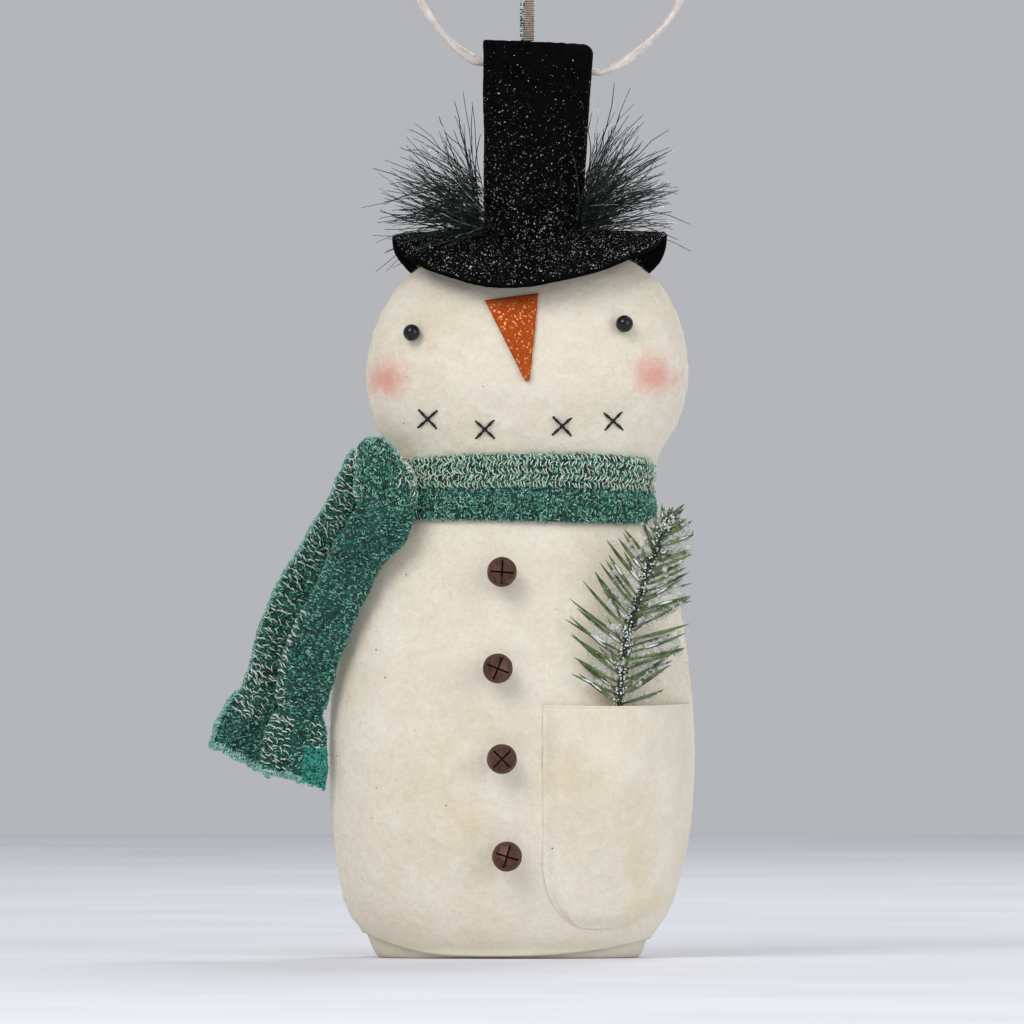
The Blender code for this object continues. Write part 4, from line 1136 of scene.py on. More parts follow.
def flecks(name, spots, paint, body, seed):
    """Slanted strokes of pale yarn. spots lists places with the ways out of and along the strip."""
    rng = np.random.default_rng(seed)
    place, out, run, lean = (np.array(column) for column in zip(*spots))
    count = len(place)
    side = np.cross(out, run)
    angle = (lean + rng.normal(0, 0.20, count))[:, None]
    way = unit(side * np.cos(angle) + run * np.sin(angle))
    t = np.linspace(-0.5, 0.5, 6)[None, :, None]
    size = rng.uniform(1.8, 2.6, (count, 1, 1)) * MM
    hook = rng.normal(0, 0.12, (count, 1, 1)) + 0.08
    arch = (0.62 * MM) * (1 - (2 * t) ** 2) + 0.12 * MM
    paths = place[:, None] + way[:, None] * size * t + out[:, None] * arch
    paths = paths + np.cross(out, way)[:, None] * size * hook * (1 - (2 * t) ** 2)
    radii = rng.uniform(0.16, 0.225, (count, 1)) * MM * np.array([[0.6, 1, 1, 1, 1, 0.6]])
    return settle(make_piece(name, *strands(paths, radii, 5), paint), body, "knit")


def make_band(paints):
    """The scarf round the neck: a folded knit strip, flecked above its crease and plain below."""
    rows, columns = 64, 460
    dense = np.linspace(0, 2 * math.pi, 4000)
    far = np.linalg.norm(np.diff(body_at(np.full(4000, NECK), dense, 0.003), axis=0), axis=1)
    far = np.concatenate([[0], np.cumsum(far)])
    even = np.interp(np.linspace(0, far[-1], columns, endpoint=False), far, dense)
    v, a = lattice(np.linspace(0, 1, rows), even)
    c = np.cos(a)
    low = 0.1484 - 0.0010 * c
    high = 0.1712 - np.where(c < 0, 0.0036, 0.0024) * c**2
    z = low + (high - low) * v + 0.35 * MM * np.sin(5 * a + 1) * (v - 0.4)
    bulge = BAND_THICKNESS * (1 - 0.32 * c**4) * (0.35 + 0.65 * np.sqrt(within(1 - (2 * v - 1) ** 4)))
    crease = 0.8 * MM * hump(v - 0.47, 0.05) - 0.5 * MM * hump(v - 0.25, 0.15)
    point = body_at(z, a)
    point[..., 0] -= np.maximum(point[..., 0] - BAND_RIGHT, 0.0) * 0.75
    out = body_at(z, a, 0.001) - body_at(z, a)
    out[..., 2] = 0
    out = unit(out)
    length, width = a * 0.047, v * 0.024
    relief = bulge - crease + noisy(point, ((0.5, 0.012, 41.0, 2),))
    relief += KNIT_DEPTH * knit_relief(width, length)
    outer = point + out * relief[..., None]
    uv = strip_uv(length, width)
    ob = make_piece("scarf_band_knit", *shell(outer, point + out * (0.25 * MM), True), paints["knit"],
                    uv=np.concatenate([uv, uv]))
    settle(ob, "figure", "knit", "scarf_neck_band")
    run = unit(np.roll(outer, -1, 1) - np.roll(outer, 1, 1))
    tip = (v - 0.5) * 1.6 * (np.abs(v - 0.5) > 0.35)
    lift = unit(out + xyz(0, 0, tip))
    # The band's loops take the lighter copies of the loop paint, painted light from above, with the upper
    # half the lightest.
    piles = [terry("scarf_band_loops_" + name, outer, lift, np.cross(out, run), 1.8, paints[paint], "figure",
                   seed, where * 1.0)
             for name, paint, seed, where in (("low", "pale", 43, v < 0.5), ("high", "lit_top", 46, v >= 0.5))]
    rng = random.Random(44)
    spots = []
    for number, lane in enumerate((0.55, 0.65, 0.75, 0.85, 0.94)):
        j = rng.uniform(0, 4)
        while j < columns:
            i = min(rows - 1, int((lane + rng.gauss(0, 0.012)) * rows))
            k = int(j)
            lean = (0.42 if number % 2 else -0.38) + (0.3 if rng.random() < 0.2 else 0.0)
            spots.append((outer[i, k], lift[i, k], run[i, k], lean))
            j += rng.uniform(1.9, 3.3)
    yarn = flecks("scarf_band_flecks", spots, paints["cream"], "figure", 45)


# Each tail: X, Y, Z and half width from under the knot to its free end.
OUTER_TAIL = (
    (-0.0512, -0.0085, 0.1716, 0.0028),
    (-0.0517, -0.0085, 0.1684, 0.0040),
    (-0.0527, -0.0085, 0.1632, 0.0053),
    (-0.0562, -0.0085, 0.1512, 0.0070),
    (-0.0643, -0.0085, 0.1361, 0.0076),
    (-0.0725, -0.0085, 0.1215, 0.0082),
    (-0.0778, -0.0085, 0.1077, 0.0082),
    (-0.0819, -0.0085, 0.0940, 0.0080),
    (-0.0868, -0.0085, 0.0850, 0.0080),
    (-0.0902, -0.0085, 0.0760, 0.0092),
    (-0.0925, -0.0085, 0.0672, 0.0105),
)
INNER_TAIL = (
    (-0.0422, -0.0285, 0.1540, 0.0096),
    (-0.0437, -0.0288, 0.1490, 0.0097),
    (-0.0507, -0.0275, 0.1395, 0.0088),
    (-0.0590, -0.0250, 0.1224, 0.0084),
    (-0.0648, -0.0225, 0.1102, 0.0089),
    (-0.0696, -0.0190, 0.0960, 0.0092),
    (-0.0714, -0.0172, 0.0850, 0.0082),
    (-0.0738, -0.0158, 0.0735, 0.0097),
    (-0.0752, -0.0152, 0.0612, 0.0101),
)
TAIL_HALF_THICKNESS = 2.7 * MM
TAIL_NODES = {"outer_tail": "scarf_tail_outer", "inner_tail": "scarf_tail_inner"}
NO_PATCH = (2.0, 2.0)  # past the strip's end and side, so that nothing of it is turned over


def tail_grid(stations, seed, pinch, slant):
    """The surface of one hanging strip, with its outward ways and where on the strip its points lie."""
    rows, columns = 220, 132
    steps = np.linalg.norm(np.diff([s[:3] for s in stations], axis=0), axis=1)
    keys = np.concatenate([[0], np.cumsum(steps)])
    keys = keys / keys[-1]
    share = np.linspace(0, 1, rows)
    table = [(k, *s) for k, s in zip(keys, stations)]
    line = along(table, share)
    path, wide = line[:, :3], line[:, 3]
    run = unit(np.gradient(path, axis=0))
    across = unit(np.cross((0.0, -1.0, 0.0), run))
    out = np.cross(run, across)
    a = full_turn(columns)
    power = 2.0 / 2.7
    ca, sa = (rounded(w, power) for w in (np.cos(a), np.sin(a)))
    thick = np.interp(share, (0, 0.06, 0.75, pinch, 0.93, 1.0), np.array((0.6, 1, 1, 0.8, 1.05, 0.8)))
    thick = thick * TAIL_HALF_THICKNESS
    grid = path[:, None] + across[:, None] * (ca[None] * wide[:, None])[..., None]
    grid = grid + out[:, None] * (sa[None] * thick[:, None])[..., None]
    grid += run[:, None] * (slant * within((share - 0.8) / 0.2)[:, None] * ca[None])[..., None]
    normal = np.cross(np.gradient(grid, axis=0), np.roll(grid, -1, 1) - np.roll(grid, 1, 1))
    normal = unit(normal)
    normal = normal * np.where(((grid - path[:, None]) * normal).sum(-1, keepdims=True) < 0, -1.0, 1.0)
    side, t = np.cos(a)[None], share[:, None]
    length = t * 0.105 + 0 * side
    round_it = np.abs(np.angle(np.exp(1j * (a - math.pi / 2))))[None] * 0.0062 + 0 * length
    loose = within((t - pinch) / 0.06)
    relief = 0.7 * MM * lumps(grid, 0.011, seed, 2) + KNIT_DEPTH * knit_relief(length, round_it)
    relief += loose * 0.9 * MM * np.sin(side * 7.0 + seed) - 1.1 * MM * hump(t - pinch, 0.022)
    relief -= 0.5 * MM * hump(t - pinch + 0.07, 0.012) * (0.5 + 0.5 * side)
    grid = grid + normal * relief[..., None]
    ragged = lumps(xyz(side * 0.01 + 0 * length, 0 * length, 0 * length), 0.003, seed, 2)
    grid[..., 2] += 1.0 * MM * ragged * within((t - 0.93) / 0.07)
    return grid, normal, run, side, np.sin(a)[None], t, length, round_it


def make_tail(name, stations, paints, seed, pinch, slant, lanes, edge_lanes, patch):
    """One hanging end of the scarf, gathered near its foot and flared below that."""
    grid, normal, run, side, front, t, length, round_it = tail_grid(stations, seed, pinch, slant)
    rows, columns = grid.shape[:2]
    # The end is closed by rings drawn in and up between the strip's two layers.
    last, middle = grid[-1], grid[-1].mean(0)
    hollow = [middle + (last - middle) * (1.0 - 0.19 * k) - run[-1] * (0.8 * MM * k) for k in range(1, 6)]
    points = np.concatenate([grid.reshape(-1, 3)] + hollow + [grid[0].mean(0)[None]])
    faces = grid_faces(rows + 5, columns, True)
    faces.append([(rows + 4) * columns + i for i in range(columns)])
    faces += [[len(points) - 1, (i + 1) % columns, i] for i in range(columns)]
    uv = strip_uv(round_it, length)
    uv = np.concatenate([uv, np.tile(uv[-columns:], (5, 1)), uv[:1]])
    ob = make_piece(name + "_knit", points, faces, paints["knit"], uv=uv)
    settle(ob, name, "knit", TAIL_NODES[name])
    across = unit(np.roll(grid, -1, 1) - np.roll(grid, 1, 1))
    down = np.broadcast_to(run[:, None], grid.shape)
    patched = ((t > patch[0]) & (side > patch[1]) & (front > -0.2)) * 1.0
    reverse = []
    if patched.any():
        reverse = [terry(name + "_reverse", grid, normal, down, 4.5, paints["reverse"], name, seed + 3,
                         patched, (0.8, 1.7), 0.6)]
    pile = terry(name + "_loops", grid, normal, across, 1.6, paints["loops"], name, seed + 1, 1.0 - patched)
    rng = random.Random(seed)
    spots = []
    for start, end, places in lanes:
        for lane in places:
            i = start * rows
            while i < end * rows:
                where = max(-0.99, min(0.99, lane + rng.gauss(0, 0.03)))
                j = int(math.acos(where) / (2 * math.pi) * columns) % columns
                k = min(rows - 1, int(i))
                spots.append((grid[k, j], normal[k, j], run[k], 0.35 + rng.gauss(0, 0.25)))
                i += rng.uniform(1.9, 4.0) / 105 * rows * 0.9
    yarn = flecks(name + "_flecks", spots, paints["cream"], name, seed + 2)
    # Pale fibres fray from the cut edges.
    fray = sum(((t >= low) & (t <= high) & (side >= side_low) & (side <= side_high)) * 1.0
               for low, high, side_low, side_high in edge_lanes)
    edge = terry(name + "_selvedge", grid, unit(normal + down * (t > 0.98)[..., None]), down, 6.0,
                 paints["edge"], name, seed + 4, within(fray), (0.8, 1.8), 1.0)


def make_knot(paints):
    """The knot: the band's end folded over the tails, a soft pad that narrows into the band."""
    low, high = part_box("scarf_knot")
    centre, half = np.array((low + high) / 2), np.array((high - low) / 2)
    rings, around = 130, 190
    theta, phi = lattice(np.linspace(0.03, math.pi - 0.03, rings), full_turn(around))
    ring = rounded(np.sin(theta), 2.0 / 3.2)
    ball = xyz(ring * rounded(np.cos(phi), 2.0 / 2.8), ring * rounded(np.sin(phi), 2.0 / 2.6),
               rounded(np.cos(theta), 2.0 / 3.0))
    normal = unit(ball / half)
    x, z = ball[..., 0], ball[..., 2]
    slide = eased(within((x + 0.25) / 1.15))
    points = ball * half * np.array([1.0, 0.95, 0.97])
    points[..., 2] = points[..., 2] * (1.0 - 0.34 * slide) - 4.6 * MM * slide
    points[..., 1] *= 1.0 - 0.22 * slide * (ball[..., 1] < 0)
    facing = points[..., 1] < 0
    relief = 0.6 * MM * np.sin(x * 3.0 + z * 1.2 + 0.6) * np.sin(theta)
    relief += noisy(points, ((0.7, 0.008, 61.0, 2),))
    relief -= 1.5 * MM * hump(x - 0.02 - 0.10 * z, 0.10) * facing * within(0.35 - z)
    relief -= 0.9 * MM * hump(x - 0.40 + 0.45 * z, 0.09) * facing * within(0.1 - z)
    length, width = theta * 0.015, phi * 0.0095
    relief += KNIT_DEPTH * knit_relief(length, width)
    points = points + normal * relief[..., None] + centre
    poles = np.array([points[0].mean(0), points[-1].mean(0)])
    uv = strip_uv(width, length)
    ob = make_piece("scarf_knot_knit", np.concatenate([points.reshape(-1, 3), poles]),
                    grid_faces(rings, around, True) + cap_faces(rings, around), paints["knit"],
                    uv=np.concatenate([uv, uv[:1], uv[-1:]]))
    settle(ob, "figure", "knit", "scarf_knot")
    run = unit(np.gradient(points, axis=0))
    # The knot's loops take the band's lighter copy of the loop paint: painted light from above.
    terry("scarf_knot_loops", points, normal, run, 1.7, paints["pale"], "figure", 62)
    rng = random.Random(66)
    spots = []
    for _ in range(1500):
        i, j = rng.randrange(6, rings - 6), rng.randrange(around)
        u, w = ball[i, j, 0], ball[i, j, 2]
        from_band = 0.9 * max(0.0, u - 0.15) if w > -0.35 else 0.0
        crest = 0.30 * max(0.0, w - 0.55)
        rim = 0.35 if u < -0.86 else 0.0
        if rng.random() < max(from_band, crest, rim) * 0.30:
            spots.append((points[i, j], normal[i, j], run[i, j], rng.choice((-1.2, 0.4, 1.0))))
    flecks("scarf_knot_flecks", spots, paints["cream"], "figure", 67)
    terry("scarf_knot_selvedge", points, normal, np.roll(run, 1, -1), 3.0, paints["edge"], "figure", 68,
          (z > 0.93) * (x < 0.5) * 1.0, (0.8, 1.6), 0.6)


# ---------------------------------------------------------------- pocket and sprig

POCKET_LOW, POCKET_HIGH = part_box("pocket_patch")


PATCH = 1.1 * MM  # thickness of the pocket's cloth
POCKET_EDGE = 0.0612  # the patch ends here on the right
POCKET_REACH = 0.985  # or at this share of the body's half width
POCKET_FOOT = POCKET_LOW.z + 1.5 * MM
POCKET_BULGE = 6.2 * MM  # how far the mouth stands off the body
POCKET_SHUT = 0.0200  # below this height the pocket lies flat
POCKET_OPENING = 0.0500  # and over the next stretch it opens


def pocket_sides(z):
    """Middle and half width of the pocket at a height. It runs to the side seam, and its foot is round."""
    bend = POCKET_FOOT + 0.0245
    share = within((bend - z) / (bend - POCKET_FOOT))
    half_width, _, centre = np.moveaxis(along(OUTLINE, z), -1, 0)
    right = np.minimum(centre + half_width * POCKET_REACH, POCKET_EDGE)
    half = (right - POCKET_LOW.x) / 2
    return POCKET_LOW.x + half, half * np.power(within(1 - share**2.4), 1 / 2.4)


def make_pocket(material):
    """The pocket: a batting patch sewn round three sides, its mouth standing off the body."""
    rows, columns = 190, 130
    t, s = lattice(np.linspace(0, 1, rows), np.linspace(-1, 1, columns))
    z = POCKET_FOOT + 0.0002 + (POCKET_HIGH.z - POCKET_FOOT - 0.0004) * (1 - (1 - t) ** 1.5)
    centre, half = pocket_sides(z)
    x = centre + s * half
    sag = 0.5 * MM * (1 - s**2) * within((t - 0.9) / 0.1)
    z = z - sag
    reach = np.minimum(1 - np.abs(s), within((z - POCKET_FOOT) / 0.024))
    stand = eased(within(reach / 0.22))
    opened = eased(within((z - POCKET_SHUT) / POCKET_OPENING))
    full = np.sin(math.pi * (s + 1) / 2) ** 1.4
    grow = PATCH * (0.30 + 0.70 * stand) + (0.05 + 0.65 * stand) * MM + POCKET_BULGE * opened * full
    points = xyz(x, front_y(x, z, grow), z)
    relief = 0.45 * MM * lumps(points, 0.018, 71.0, 2) * stand + 0.20 * MM * lumps(points, 0.006, 72.0, 2)
    relief += 0.08 * MM * lumps(points, 0.0015, 73.0, 2)
    stitch_line = hump(reach - 0.060, 0.030) * 0.08 * MM
    top_edge = within((t - 0.965) / 0.035)
    hem_line = hump(t - 0.935, 0.010) * 0.18 * MM
    points[..., 1] -= relief - stitch_line - hem_line
    inner = points.copy()
    inner[..., 1] += PATCH * (0.45 + 0.55 * stand)
    round_top = np.sqrt(within(1 - top_edge**2))
    points[..., 1] += (1 - round_top) * PATCH * 0.45
    inner[..., 1] -= (1 - round_top) * PATCH * 0.45
    ob = make_piece("pocket_cloth", *shell(points, inner), material)
    settle(ob, "figure", "batting", "pocket_patch")


STEM = ((0.0352, -0.0370, 0.0600), (0.0364, -0.0370, 0.0866), (0.0378, -0.0370, 0.1030),
        (0.0411, -0.0368, 0.1173), (0.0444, -0.0366, 0.1270), (0.0469, -0.0366, 0.1345),
        (0.0505, -0.0370, 0.1430), (0.0525, -0.0372, 0.1490))
# Share of the stem, needle length and lean from the stem in degrees, for the needles to its left and right.
LEFT_NEEDLES = ((0.0, 0.0185, 66), (0.15, 0.0205, 62), (0.38, 0.0215, 64), (0.6, 0.0180, 56),
                (0.8, 0.0125, 48), (1.0, 0.0055, 30))
RIGHT_NEEDLES = ((0.0, 0.0200, 70), (0.3, 0.0215, 65), (0.5, 0.0210, 58), (0.75, 0.0165, 50),
                 (1.0, 0.0080, 36))
NEEDLE_EDGE = 0.0612  # no needle reaches further right
NEEDLE_FRONT = -0.0430
NEEDLE_FOOT = 0.0862  # the lowest needle's height


def make_sprig(paints):
    """A pine sprig: a rough stem, leaf-like needles fanned from it, and clear flock between them."""
    rng = random.Random(81)
    line = smooth_path(STEM, 160)
    run = unit(np.gradient(line, axis=0))
    first = next(i for i, p in enumerate(line) if p[2] > NEEDLE_FOOT)
    rough = (1 + 0.22 * lumps(line, 0.0012, 82.0, 2)) * np.linspace(1.0, 0.75, 160)
    twig, needles, snow, ice = Heap(), Heap(), Heap(), Heap()
    twig.add(*rod(line, 0.90 * MM * rough, 10))
    ends = []
    fans = {-1: [], 1: []}

    def needle(share, side, long, lean, wide, inner=0.5):
        i = int(first + (len(line) - 1 - first) * share)
        out = np.array([1.0, 0.0, 0.0]) * side
        out = unit(out - run[i] * (out * run[i]).sum())
        lean = math.radians(lean)
        way = unit(run[i] * math.cos(lean) + out * math.sin(lean) + np.array([0, rng.gauss(0.02, 0.16), 0]))
        t = np.linspace(0, 1, 10)[:, None]
        curl = np.array([0.0, rng.uniform(-0.10, 0.06), rng.uniform(-0.02, 0.16)])
        path = line[i] + way * long * t + curl * long * t**2
        over = np.maximum(path[:, 0] - NEEDLE_EDGE, 0.0)
        path[:, 0] -= over
        path[:, 2] += over * 0.6
        path[:, 1] = np.minimum(path[:, 1], front_y(path[:, 0], path[:, 2]) - 1.3 * MM)
        path[:, 1] = np.maximum(path[:, 1], NEEDLE_FRONT)
        radii = wide * np.array([inner, inner, 0.7, 0.9, 1.0, 1.0, 0.95, 0.8, 0.5, 0.10])
        needles.add(*rod(path, radii, 6, side_way=(0.0, 1.0, 0.0), flat=0.45))
        ends.append((path, side, share))
        if long > 0.010:
            fans[side].append((share, path))

    for side, table, count in ((-1, LEFT_NEEDLES, 27), (1, RIGHT_NEEDLES, 31)):
        for number in range(count):
            share = min(1.0, max(0.0, (number + rng.uniform(-0.3, 0.3)) / (count - 1)))
            long, lean = along(table, share)
            needle(share, side, long * rng.uniform(0.78, 1.06), lean + rng.gauss(0, 7),
                   rng.uniform(0.50, 0.68) * MM)
    for _ in range(34):
        share = rng.random()
        side = rng.choice((-1, 1))
        long = rng.uniform(0.006, 0.011) * (1.1 - 0.4 * share)
        needle(share, side, long, rng.uniform(18, 60), 0.5 * MM, 0.8)
    for _ in range(38):
        needle(rng.uniform(0.88, 1.0), rng.choice((-1, 1, 1)), rng.uniform(0.0035, 0.0075),
               rng.uniform(-10, 80), rng.uniform(0.40, 0.60) * MM, 0.9)
    # Clear flock hangs in webs between neighbouring needles, and in lumps along them.
    for side, fan in fans.items():
        fan.sort(key=lambda item: item[0])
        for (low_share, low), (_, high) in zip(fan, fan[1:]):
            if side < 0 and rng.random() > (0.90 if low_share > 0.3 else 0.60):
                continue
            first_station, last_station = rng.randint(0, 2), rng.randint(4, 7)
            if side > 0:
                last_station = rng.randint(6, 8)
            web(ice, low, high, first_station, last_station, rng)
    for path, side, share in ends:
        for station in range(1, 9):
            keep = 1.05 if side > 0 else 0.75 if share > 0.35 else 0.40
            if rng.random() > keep - 0.06 * station or share > 0.96:
                continue
            aside = rng.gauss(0, 0.5), rng.uniform(0.1, 1.3), rng.gauss(0, 0.9)
            middle = near(path[station], aside, 0.9, 0.9)
            size = np.array([rng.uniform(0.8, 2.2), rng.uniform(0.10, 0.26), rng.uniform(0.6, 1.5)]) * MM
            ice.add(*clump(middle, size, rng))
        if rng.random() < 0.35:
            begin = rng.randint(1, 5)
            sleeve = path[begin:begin + 3] + np.array([0, -0.32 * MM, 0.15 * MM])
            snow.add(*rod(sleeve, np.array([0.5, 1.0, 0.4]) * rng.uniform(0.28, 0.50) * MM, 6))
    for heap, count, spread_x, depths, spread_z, sizes in (
            (twig, 330, 1.1, (-1.3, -0.2), 0.7, (0.16, 0.48)),
            (snow, 240, 1.2, (-1.9, -0.7), 0.8, (0.12, 0.42))):
        for _ in range(count):
            middle = line[rng.randrange(first, len(line))]
            aside = rng.gauss(0, spread_x), rng.uniform(*depths), rng.gauss(0, spread_z)
            spot = middle + np.array(aside) * MM
            heap.add(*clump(spot, np.full(3, rng.uniform(*sizes) * MM), rng))
    for _ in range(620):
        path, _, _ = ends[rng.randrange(len(ends))]
        station = rng.randrange(1, 9)
        aside = rng.gauss(0, 1.0), rng.uniform(-0.9, 0.2), rng.gauss(0, 1.0)
        spot = near(path[station], aside, 0.2, 0.6)
        heap = snow if rng.random() < 0.65 else twig
        heap.add(*clump(spot, np.full(3, rng.uniform(0.09, 0.24) * MM), rng))
    for heap, name, paint, *replaced in ((twig, "sprig_twig", "twig", "sprig_stem"),
                                         (needles, "sprig_leaves", "needle", "sprig_needles"),
                                         (snow, "sprig_snow", "snow"), (ice, "sprig_ice", "ice")):
        settle(heap.piece(name, paints[paint]), "sprig", "pine", *replaced)


def near(place, aside, from_edge, from_cloth):
    """A spot some millimetres aside from a place, kept off the sprig's right edge and off the body."""
    x, y, z = place + np.array(aside) * MM
    x = min(x, NEEDLE_EDGE - from_edge * MM)
    return np.array([x, min(y, float(front_y(x, z)) - from_cloth * MM), z])


def web(heap, low, high, first, last, rng):
    """A thin uneven film of flock between two needles, over a stretch of their lengths."""
    rows, columns = 14, 9
    t = np.linspace(first, last, rows)
    edges = [xyz(*(np.interp(t, np.arange(10), line) for line in path.T)) for path in (low, high)]
    share = np.linspace(0.0, 1.0, columns)[None, :, None]
    grid = edges[0][:, None] * (1 - share) + edges[1][:, None] * share
    reach = np.linalg.norm((edges[1] - edges[0])[:, [0, 2]], axis=1)
    if reach.max() > 7.5 * MM:
        return
    seed = rng.random() * 40
    ragged = lumps(grid, 0.0016, seed, 2)
    end = np.linspace(0, 1, rows)[:, None] ** 4
    grid[..., 0] += 0.9 * MM * lumps(grid, 0.0022, seed + 1, 2) * end
    grid[..., 2] += 0.9 * MM * lumps(grid, 0.0022, seed + 2, 2) * end
    grid[..., 1] += rng.uniform(-0.3, 0.4) * MM + 0.35 * MM * ragged
    grid[..., 0] = np.minimum(grid[..., 0], NEEDLE_EDGE - 0.2 * MM)
    grid[..., 1] = np.minimum(grid[..., 1], front_y(grid[..., 0], grid[..., 2]) - 0.7 * MM)
    back = grid.copy()
    back[..., 1] += 0.30 * MM + 0.15 * MM * np.abs(ragged)
    heap.add(*shell(grid, back))


def clump(centre, size, rng):
    """A small uneven lump."""
    bm = bmesh.new()
    bmesh.ops.create_icosphere(bm, subdivisions=2 if max(size) > 1.2 * MM else 1, radius=1.0)
    points = np.array([v.co for v in bm.verts])
    faces = [[v.index for v in f.verts] for f in bm.faces]
    bm.free()
    shift = Vector((rng.random() * 50, rng.random() * 50, rng.random() * 50))
    swell = np.array([1.0 + 0.45 * noise.noise(Vector(p) * 1.3 + shift) for p in points])
    turn = rng.uniform(-0.8, 0.8)
    points = points * swell[:, None] * size
    c, s = math.cos(turn), math.sin(turn)
    spin = np.array([[c, 0, s], [0, 1, 0], [-s, 0, c]])
    return points @ spin.T + centre, faces


# ---------------------------------------------------------------- hanger

HOOP_CENTRE = (0.0129, 0.3465)
HOOP_RADIUS = 0.0490
HOOP_LEFT = (-0.0126, 0.3047)
HOOP_RIGHT = (0.0300, 0.3006)
HOOP_TWIST = 0.062  # length of one turn of the flat cord
HOOP_CORD = (1.70, 1.15)  # half width and half thickness of the cord, in millimetres
RIBBON_LOW, RIBBON_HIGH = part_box("hanger_ribbon")
RIBBON_X = (RIBBON_LOW.x + RIBBON_HIGH.x) / 2
RIB_PITCH = 0.74 * MM


def make_hoop(material):
    """The hoop: a wire in a flat satin cord that turns slowly along its length."""
    (lx, lz), (rx, rz), (cx, cz) = HOOP_LEFT, HOOP_RIGHT, HOOP_CENTRE
    start, end = math.atan2(rz - cz, rx - cx), math.atan2(lz - cz, lx - cx) + 2 * math.pi
    a = np.linspace(start, end, 700)
    arc = xyz(cx + HOOP_RADIUS * np.cos(a), 0, cz + HOOP_RADIUS * np.sin(a))
    k = np.linspace(0, 1, 90)[1:-1]
    path = np.concatenate([arc, xyz(lx + (rx - lx) * k, 0, lz + (rz - lz) * k)])
    steps = np.linalg.norm(np.diff(path, axis=0, append=path[:1]), axis=1)
    far = np.concatenate([[0], np.cumsum(steps)[:-1]])[:, None]
    run = unit(np.roll(path, -1, 0) - np.roll(path, 1, 0))
    across = np.broadcast_to(np.array([0.0, 1.0, 0.0]), run.shape)
    out = np.cross(run, across)
    sides = 24
    angle = full_turn(sides)[None]
    turn = 2 * math.pi * far / HOOP_TWIST + 0.5 * np.sin(far / 0.021)
    lie = angle - turn
    flat = 1.0 / np.sqrt((np.cos(lie) / HOOP_CORD[0]) ** 2 + (np.sin(lie) / HOOP_CORD[1]) ** 2)
    radius = (flat + 0.03 * np.cos(11 * lie + 3 * turn)) * MM
    grid = path[:, None] + radius[..., None] * (
        across[:, None] * np.cos(angle)[..., None] + out[:, None] * np.sin(angle)[..., None])
    faces = grid_faces(len(path), sides, True)
    last = (len(path) - 1) * sides
    faces += [[last + i, last + (i + 1) % sides, (i + 1) % sides, i] for i in range(sides)]
    ob = make_piece("hoop_winding", grid.reshape(-1, 3), faces, material)
    settle(ob, "hanger", "ribbon", "hanger_hoop")


def make_ribbon(material):
    """A flat ribbed ribbon from the hat's lid up to the knot on the hoop."""
    x, low, high = RIBBON_X, RIBBON_LOW.z, RIBBON_HIGH.z
    z, s = lattice(np.linspace(low, high, 420), np.linspace(-1, 1, 15))
    rise = (z - low) / (high - low)
    twist = 0.10 * np.sin(rise * math.pi)
    half = 2.35 * MM * (1.0 - 0.05 * np.sin(z / 0.0009 * math.pi) * (np.abs(s) > 0.9))
    rib = 0.07 * MM * np.sin(2 * math.pi * z / RIB_PITCH)
    bow = 0.5 * MM * np.sin(rise * 2 * math.pi)
    depth = 0.28 * MM + rib * (np.abs(s) < 0.97)
    front, back = (xyz(x + s * half * np.cos(twist), bow + s * half * np.sin(twist) + way * depth, z)
                   for way in (-1, 1))
    ob = make_piece("ribbon_strip", *shell(front, back), material)
    even = np.linspace(low, high, 40)
    line = xyz(x, np.interp(even, z[:, 0], bow[:, 0]), even)
    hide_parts("hanger_ribbon")
    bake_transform(ob)


# ---------------------------------------------------------------- build

batting = paint_batting("cream_batting")
face_batting = paint_batting("cream_batting_face", blush=True)
black_felt = paint_felt("black_felt", (0.0010, 0.0010, 0.0011), (0.0046, 0.0046, 0.0048))
orange_felt = paint_felt("orange_felt", (0.34, 0.050, 0.006), (0.54, 0.100, 0.014), (0.74, 0.32, 0.12),
                         0.12)
silver_flakes = paint_flakes("silver_glitter", (0.03, 0.03, 0.035), (1.0, 1.0, 1.0))
gold_flakes = paint_flakes("gold_glitter", (0.30, 0.075, 0.016), (0.84, 0.40, 0.14))
scarf_paints = {
    "knit": paint_knit("green_knit", (0.002, 0.018, 0.014), (0.008, 0.058, 0.044), (0.020, 0.110, 0.082),
                       (13.0, 16.0)),
    "cream": paint_yarn("cream_yarn", (0.56, 0.60, 0.46), (0.92, 0.91, 0.80)),
}
# The band's and knot's loop paints are lighter copies of the tails' loops: painted light from above, lightest
# on the band's upper half.
for key, name, dark, mid, light in (
        ("loops", "green_loops", (0.008, 0.074, 0.054), (0.060, 0.335, 0.240), (0.420, 0.740, 0.620)),
        ("pale", "green_loops_lit_band", (0.018, 0.112, 0.080), (0.135, 0.500, 0.350), (0.620, 0.880, 0.740)),
        ("lit_top", "green_loops_lit_top", (0.030, 0.165, 0.115), (0.200, 0.620, 0.430), (0.700, 0.920, 0.800)),
        ("edge", "aqua_selvedge", (0.12, 0.40, 0.32), (0.34, 0.66, 0.56), (0.62, 0.84, 0.76)),
        ("reverse", "turquoise_reverse", (0.01, 0.22, 0.17), (0.04, 0.44, 0.34), (0.16, 0.66, 0.52))):
    scarf_paints[key] = paint_shades(name, dark, mid, light)
thread = paint_yarn("black_thread", (0.002, 0.002, 0.003), (0.010, 0.009, 0.011), 0.8, 0.03)
rust = paint_rust("rusted_tin")
bead = paint_plain("black_bead", (0.002, 0.002, 0.003), (0.010, 0.010, 0.011), 700.0, 0.16, depth=0.10,
                   Specular_IOR_Level=0.30, Coat_Weight=0.15)
